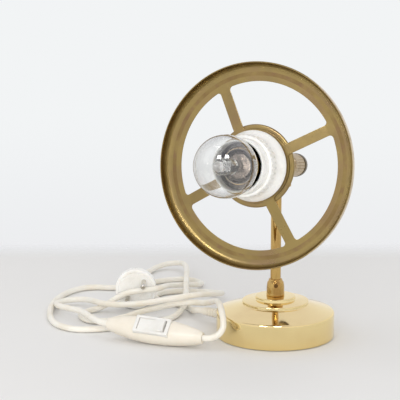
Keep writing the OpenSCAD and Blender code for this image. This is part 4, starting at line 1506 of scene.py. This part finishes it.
@dataclass
class Plug(Part):
    """Round two-pin plug resting on its rim, its face towards the viewer."""

    radius: float = 16.8
    centre: Point = (-111, 73, 16.9)
    pin_r: float = 2.0
    pin_l: float = 19.0
    pin_tip: float = 1.2
    pin_at: tuple[float, float] = (6.6, 6.8)
    sleeve_ribs: int = 7
    sleeve_end: float = -54.0

    @property
    def axes(self) -> Matrix:
        """The plug's own axes: Z out of its face."""
        return PILE_AXES @ shifted(*self.centre) @ turned(90, "X")

    def build(self) -> list[Object]:
        """Moulds the face, shell and sleeve and presses in the pins.

        Returns:
            The pieces of the plug.
        """
        white = (WHITE_PLASTIC, "white_plastic")
        return [
            self.piece(name, shape, finish, node, slot)
            for name, shape, (finish, slot), node in (
                ("plug_front", self._front(), white, "plug_face"),
                ("plug_back", self._back(), white, "plug_shell"),
                ("plug_sleeve", self._sleeve(), (CREAM_SHEATH, "cream_flex"), "plug_boot"),
                ("plug_pin_pair", self._pins(), (NICKEL, "nickel"), "plug_pins"),
            )
        ]

    def _front(self) -> Shape:
        """Spins the face, with a shallow groove round it.

        Returns:
            The face.
        """
        r = self.radius
        line = [(0, -3), (r - 0.3, -3), (r, -2.8), *arc(r - 1.1, -1.1, 1.1, 0, 90, 6)]
        line += [(r - 2.4, 0), (r - 2.7, -0.35), (r - 3.1, -0.35), (r - 3.4, 0), (0, 0)]
        return revolve(line, 96)

    def _back(self) -> Shape:
        """Spins the rear shell.

        Returns:
            The shell.
        """
        r = self.radius
        line = [(3.8, -29.9), (5.3, -29.9), (5.6, -29.5)]
        line += smooth_line([(6.0, -27.6), (8, -24), (12, -18.6), (r - 1.3, -11.2)], 5)
        line += smooth_line([(r - 0.5, -9.8), (r - 0.1, -8.6), (r, -7.4)], 3)
        line += [(r, -3.5), (r - 0.3, -3.05), (r - 2, -3.05), (r - 2, -8.4), (r - 3.2, -10)]
        line += [(10.4, -17.2), (6.2, -22.8), (3.8, -24.8)]
        return revolve(line, 96)

    def _sleeve(self) -> Shape:
        """Spins the tapered and ribbed sleeve that the cord leaves through.

        Returns:
            The sleeve.
        """
        end = self.sleeve_end
        line = [(0, -22.2), (5, -22.2), (5, -23.3), (4.2, -24.2), (3.75, -24.7), (3.75, -29.95)]
        line += [(4.8, -29.95), (5.0, -30.2), (5.0, -31.2)]
        for i in range(self.sleeve_ribs):
            at, r = -32.0 - 2.9 * i, 4.85 - 0.26 * i
            line += [(r, at), (r - 0.1, at - 1.7), (r - 0.7, at - 1.8), (r - 0.75, at - 2.8)]
        line += [(2.9, -52.6), (2.9, end + 0.3), (2.6, end), (0, end)]
        return revolve(line, 48)

    def _pins(self) -> Shape:
        """Turns the two pins with their rounded tips.

        Returns:
            The pins.
        """
        r, high, tip = self.pin_r, self.pin_l, self.pin_tip
        line = [(0, -8), (r, -8), *arc(r - tip, high - tip, tip, 0, 90, 6), (0, high)]
        places = (Matrix.Translation((s * self.pin_at[0], s * self.pin_at[1], 0)) for s in (-1, 1))
        return join(*(moved(revolve(line, 40), place) for place in places))


@dataclass
class Cord(Part):
    """The two runs of cord, from plug to switch and from foot to switch, in the pile's axes."""

    plug_route: Sequence[Point] = (
        (-111, 127, 16.9), (-111, 141, 14.4), (-111, 159, 8.8), (-109, 178, 4.4), (-104, 195, 3),
        (-96.5, 208, 4), (-86, 213.5, 5.6), (-75.5, 209, 7), (-71.5, 196, 8), (-70, 176, 9.6),
        (-69.8, 154, 12.2), (-69.8, 128, 14), (-69.8, 104, 11.6), (-69.8, 84, 9), (-70, 69, 7.5),
        (-73.5, 55, 4.4), (-80, 41, 2.4), (-91, 29, 2.4), (-106, 20, 2.4), (-122, 12.5, 2.4),
        (-137, 7, 2.4), (-151, 5.5, 2.4), (-163, 11, 2.4), (-172.5, 23, 2.4), (-178, 40, 2.4),
        (-180.5, 62, 2.4), (-180.5, 84, 2.4), (-177, 104, 2.4), (-170, 122, 2.4), (-160, 134, 2.4),
        (-148, 138, 2.4), (-136, 136, 2.4), (-124, 138, 2.4), (-112, 145, 2.4), (-100, 155, 2.4),
        (-87, 163.5, 2.4), (-74, 166.5, 2.4), (-63, 161.5, 2.4), (-57, 150, 3), (-60, 136, 5.4),
        (-70, 124, 8.2), (-79, 110, 11.4), (-85, 96, 14.6), (-86.8, 82, 17.6), (-94.2, 68.2, 18.8),
        (-108, 64.6, 18.2), (-120, 65, 15.2), (-130, 66, 9.4), (-139, 66, 3.9), (-149, 60, 2.4),
        (-154, 46, 2.4), (-147, 32, 2.4), (-132, 28, 3), (-118, 34, 4.6), (-105, 43, 6.6),
        (-90, 50, 8.4), (-76, 55, 10), (-63, 53, 11.4), (-55, 42, 14), (-50.5, 30, 17.6),
        (-47.6, 19, 21.4), (-45.8, 8, 24.6), (-44.6, -2, 26.8), (-43.4, -12, 27.6),
        (-42.3, -20.5, 26.6), (-41.3, -27.2, 23.6), (-40.6, -32.2, 19.4), (-41.2, -35.9, 14.8),
        (-44.6, -38.6, 11), (-50, -39.8, 8.9),
    )
    foot_route: Sequence[Point] = (
        (-60, 42, 8), (-63.5, 53, 5), (-66, 66, 2.8), (-72, 77, 2.4), (-84, 86, 2.4),
        (-93, 95, 2.4), (-96, 107, 2.4), (-90, 119, 2.4), (-77, 124, 2.4), (-62, 123, 2.4),
        (-49, 118, 3), (-41, 106, 5.4), (-40, 91, 9), (-46, 76, 12.8), (-57, 63, 15.6),
        (-72, 54, 16), (-88, 49, 14.4), (-106, 46, 12.4), (-123, 49, 10.6), (-136, 57, 9.4),
        (-144, 67, 8.4), (-149.5, 78.5, 6.6), (-158.5, 87, 5), (-169.5, 85.5, 4.4), (-176, 74.5, 5),
        (-173, 60, 6.6), (-164, 46.5, 8.4), (-154, 33, 9.8), (-147, 19, 10.6), (-141, 6, 11.2),
        (-136, -3.6, 11.4),
    )

    def build(self, switch: Switch, housing: list[Object], plug: list[Object]) -> None:
        """Args:
            switch: the switch that both runs enter.
            housing: the switch's pieces.
            plug: the plug's pieces.
        """
        out, reach = math.radians(EXIT_DIR - PILE_TURN), BASE_R + RELIEF_L
        start = (reach * math.cos(out), reach * math.sin(out), ENTRY_Z)
        foot_line = [start, *self.foot_route, switch.end(-1)]
        plug_line = [switch.end(1), *reversed(self.plug_route)]
        near = self._lay("cord_foot_to_switch", foot_line, "cord_foot_run")
        far = self._lay("cord_switch_to_plug", plug_line, "cord_plug_run")
        self._declare(near, "fitting", housing)
        self._declare(far, "plug", plug)

    def _lay(self, name: str, route: Sequence[Point], node: str) -> Object:
        """Makes a run as one open curve.

        Args:
            name: the piece's name.
            route: the points it passes, in the pile's axes.
            node: the CAD node that it replaces.

        Returns:
            The curve object.
        """
        line = [PILE_AXES @ (Vector(p) * MM) for p in smooth_line(route, 6)]
        curve = bpy.data.curves.new(name, "CURVE")
        curve.dimensions = "3D"
        curve.bevel_depth = CORD_R * MM
        curve.bevel_resolution = 5
        curve.use_fill_caps = True
        spline = curve.splines.new("POLY")
        spline.points.add(len(line) - 1)
        for point, at in zip(spline.points, line):
            point.co = (*at, 1)
        spline.use_smooth = True
        curve.materials.append(CREAM_SHEATH.build())
        obj = put(name, curve)
        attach(obj, self.body.value)
        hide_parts(node)
        log.info("%s: %d points", name, len(line))
        return obj

    def _declare(self, obj: Object, far_end: str, pieces: list[Object]) -> None:
        """Takes a run and does nothing with it.

        Args:
            obj: the run; not used.
            far_end: what is on its far end; not used.
            pieces: the separate pieces on it; not used.
        """


# Studio


@dataclass(frozen=True)
class Light:
    """A square light: its place and size in millimetres, its power in watts, and what it does.

    A mirrored light shows in shiny pieces and doesn't light the matte ones. The others light
    them and don't show.
    """

    name: str
    at: Point
    size: float
    power: float
    mirrored: bool = False


@dataclass
class Studio:
    """Pale table, soft light and the camera at the photograph's view.

    fade tells how far before its far edge the table starts and ends to fade. walls are the tones
    that shiny pieces show from the camera's side to the far one, and ceiling the one above them,
    which takes over through ceiling_rise. The backdrop turns from its first tone to its second
    through backdrop_rise. Both rises are heights of a direction's tip, from -1 to 1.
    """

    camera_at: Point = (-58.1, -1043.0, 305.0)
    pitch: float = 10.8
    lens: float = 125.64
    floor_near: float = -420.0
    floor_far: float = 350.0
    floor_half: float = 900.0
    floor_drop: float = 0.1
    fade: tuple[float, float] = (95.0, 15.0)
    table_tones: tuple[str, str] = ("E9E8E7", "E7E7E9")
    backdrop_tones: tuple[str, str] = ("ECEDEF", "F2F4F5")
    backdrop_rise: tuple[float, float] = (-0.24, -0.12)
    room_light: float = 0.7
    aim: Point = (0, 0, 90)
    walls: Sequence[tuple[float, Colour]] = (
        (0.0, (0.95, 0.945, 0.94, 1)),
        (0.22, (0.92, 0.915, 0.91, 1)),
        (0.42, (0.78, 0.78, 0.78, 1)),
        (0.60, (0.84, 0.845, 0.85, 1)),
        (1.0, (0.91, 0.915, 0.92, 1)),
    )
    ceiling: Colour = (0.80, 0.785, 0.87, 1)
    ceiling_rise: tuple[float, float] = (0.05, 0.75)
    lights: Sequence[Light] = (
        Light("pane_left", (-450, -800, 870), 250, 2.6, mirrored=True),
        Light("pane_right", (44, -853, 921), 250, 2.6, mirrored=True),
        Light("side", (-760, -60, 620), 620, 0.8),
        Light("top", (120, 260, 1050), 800, 1.5),
        Light("front", (-60, -1200, 340), 800, 7.8),
    )

    def build(self) -> None:
        """Sets the table, the light and the camera."""
        self._floor()
        self._world()
        self._lights()
        self._camera()

    def _along(self, tree: Tree, output: str) -> Node:
        """Takes a place or direction apart along the pile's axes.

        Args:
            tree: the node tree.
            output: the kind of coordinates.

        Returns:
            The node that gives its X, Y and Z.
        """
        place = add(tree, "ShaderNodeTexCoord").outputs[output]
        about_z = {"rotation_type": "Z_AXIS"}
        level = add(tree, "ShaderNodeVectorRotate", about_z, Vector=place, Angle=-math.radians(PILE_TURN))
        return add(tree, "ShaderNodeSeparateXYZ", Vector=level)

    def _floor(self) -> None:
        """Lays the table top, which fades out at its far edge."""
        middle, half = (self.floor_near + self.floor_far) / 2, (self.floor_far - self.floor_near) / 2
        bm = bmesh.new()
        bmesh.ops.create_grid(bm, x_segments=1, y_segments=1, size=1.0)
        bmesh.ops.scale(bm, vec=(self.floor_half * MM, half * MM, 1), verts=bm.verts)
        bmesh.ops.translate(bm, vec=(0, middle * MM, -self.floor_drop * MM), verts=bm.verts)
        floor = put("table_top", mesh_of("table_top", moved(bm, PILE_AXES)))
        material = bpy.data.materials.new("table_pale")
        tree = blank_tree(material)
        start, end = self.fade
        near_tone, far_tone = (linear(tone) for tone in self.table_tones)
        back = add(
            tree, "ShaderNodeMapRange", EASED, Value=self._along(tree, "Object").outputs["Y"],
            From_Min=(self.floor_far - start) * MM, From_Max=(self.floor_far - end) * MM,
        )
        tone = add(tree, "ShaderNodeMix", TINTED, i0=back, i6=near_tone, i7=far_tone)
        matte = add(tree, "ShaderNodeBsdfDiffuse", Color=tone.outputs[MIXED])
        fade = add(tree, "ShaderNodeMixShader", i0=back, i1=matte, i2=add(tree, "ShaderNodeBsdfTransparent"))
        add(tree, "ShaderNodeOutputMaterial", Surface=fade)
        floor.data.materials.append(material)

    def _world(self) -> None:
        """Makes the pale room: plain soft light, and a pale wall to the camera and in the brass."""
        world = bpy.data.worlds.new("pale_room")
        bpy.context.scene.world = world
        tree = blank_tree(world)
        way = self._along(tree, "Generated").outputs
        depth = add(tree, "ShaderNodeMapRange", Value=way["Y"], From_Min=-1.0, From_Max=1.0)
        walls = add(tree, "ShaderNodeValToRGB", {"ramp": self.walls}, Fac=depth)
        low, high = self.ceiling_rise
        rise = add(tree, "ShaderNodeMapRange", EASED, Value=way["Z"], From_Min=low, From_Max=high)
        room = add(tree, "ShaderNodeMix", TINTED, i0=rise, i6=walls, i7=self.ceiling)
        low, high = self.backdrop_rise
        haze = add(tree, "ShaderNodeMapRange", EASED, Value=way["Z"], From_Min=low, From_Max=high)
        lower, upper = (linear(tone) for tone in self.backdrop_tones)
        wall = add(tree, "ShaderNodeMix", TINTED, i0=haze, i6=lower, i7=upper)
        soft = add(tree, "ShaderNodeBackground", Color=(1, 1, 1, 1), Strength=self.room_light)
        shine = add(tree, "ShaderNodeBackground", Color=room.outputs[MIXED], Strength=1.0)
        pale = add(tree, "ShaderNodeBackground", Color=wall.outputs[MIXED], Strength=1.0)
        rays = add(tree, "ShaderNodeLightPath").outputs
        seen = add(
            tree, "ShaderNodeMath", {"operation": "MAXIMUM"},
            i0=rays["Is Camera Ray"], i1=rays["Is Transmission Ray"],
        )
        lit = add(tree, "ShaderNodeMixShader", i0=rays["Is Glossy Ray"], i1=soft, i2=shine)
        view = add(tree, "ShaderNodeMixShader", i0=seen, i1=lit, i2=pale)
        add(tree, "ShaderNodeOutputWorld", Surface=view)

    def _lights(self) -> None:
        """Hangs two window panes over the camera and soft boxes that the brass doesn't show."""
        for light in self.lights:
            data = bpy.data.lights.new(light.name, "AREA")
            data.shape = "SQUARE"
            data.size = light.size * MM
            data.energy = light.power
            lamp = put(light.name, data)
            lamp.visible_glossy = light.mirrored
            lamp.visible_diffuse = not light.mirrored
            place = PILE_AXES @ (Vector(light.at) * MM)
            look = (Vector(self.aim) * MM - place).to_track_quat("-Z", "Y").to_matrix().to_4x4()
            lamp.matrix_world = Matrix.Translation(place) @ look

    def _camera(self) -> None:
        """Sets the camera to the view that was fitted to the photograph."""
        data = bpy.data.cameras.new("camera")
        data.sensor_width = 36
        data.lens = self.lens
        data.clip_start, data.clip_end = 0.05, 20
        camera = put("camera", data)
        camera.matrix_world = PILE_AXES @ shifted(*self.camera_at) @ turned(90 - self.pitch, "X")
        bpy.context.scene.camera = camera


def dress(nodes: dict[str, Object]) -> None:
    """Gives each carried-over CAD node its finish.

    Args:
        nodes: the frame's node objects by name.
    """
    for finish, names in CAD_FINISHES:
        for name in names:
            nodes[name].data.materials.clear()
            nodes[name].data.materials.append(finish.build())


def main() -> None:
    """Builds the lamp on its frame and sets the studio round it."""
    logging.basicConfig(level=logging.INFO, format="%(name)s: %(message)s")
    bpy.ops.wm.read_factory_settings(use_empty=True)
    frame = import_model()
    Studio().build()
    switch = Switch()
    Cord().build(switch, switch.build(), Plug().build())
    for part in (Foot(), Stem(), Hinge(frame["nodes"]), Wheel(), Cup(), Holder(), Bulb(), Knob()):
        part.build()
    dress(frame["nodes"])
    bpy.context.scene.view_settings.view_transform = "Standard"


if __name__ == "__main__":
    main()
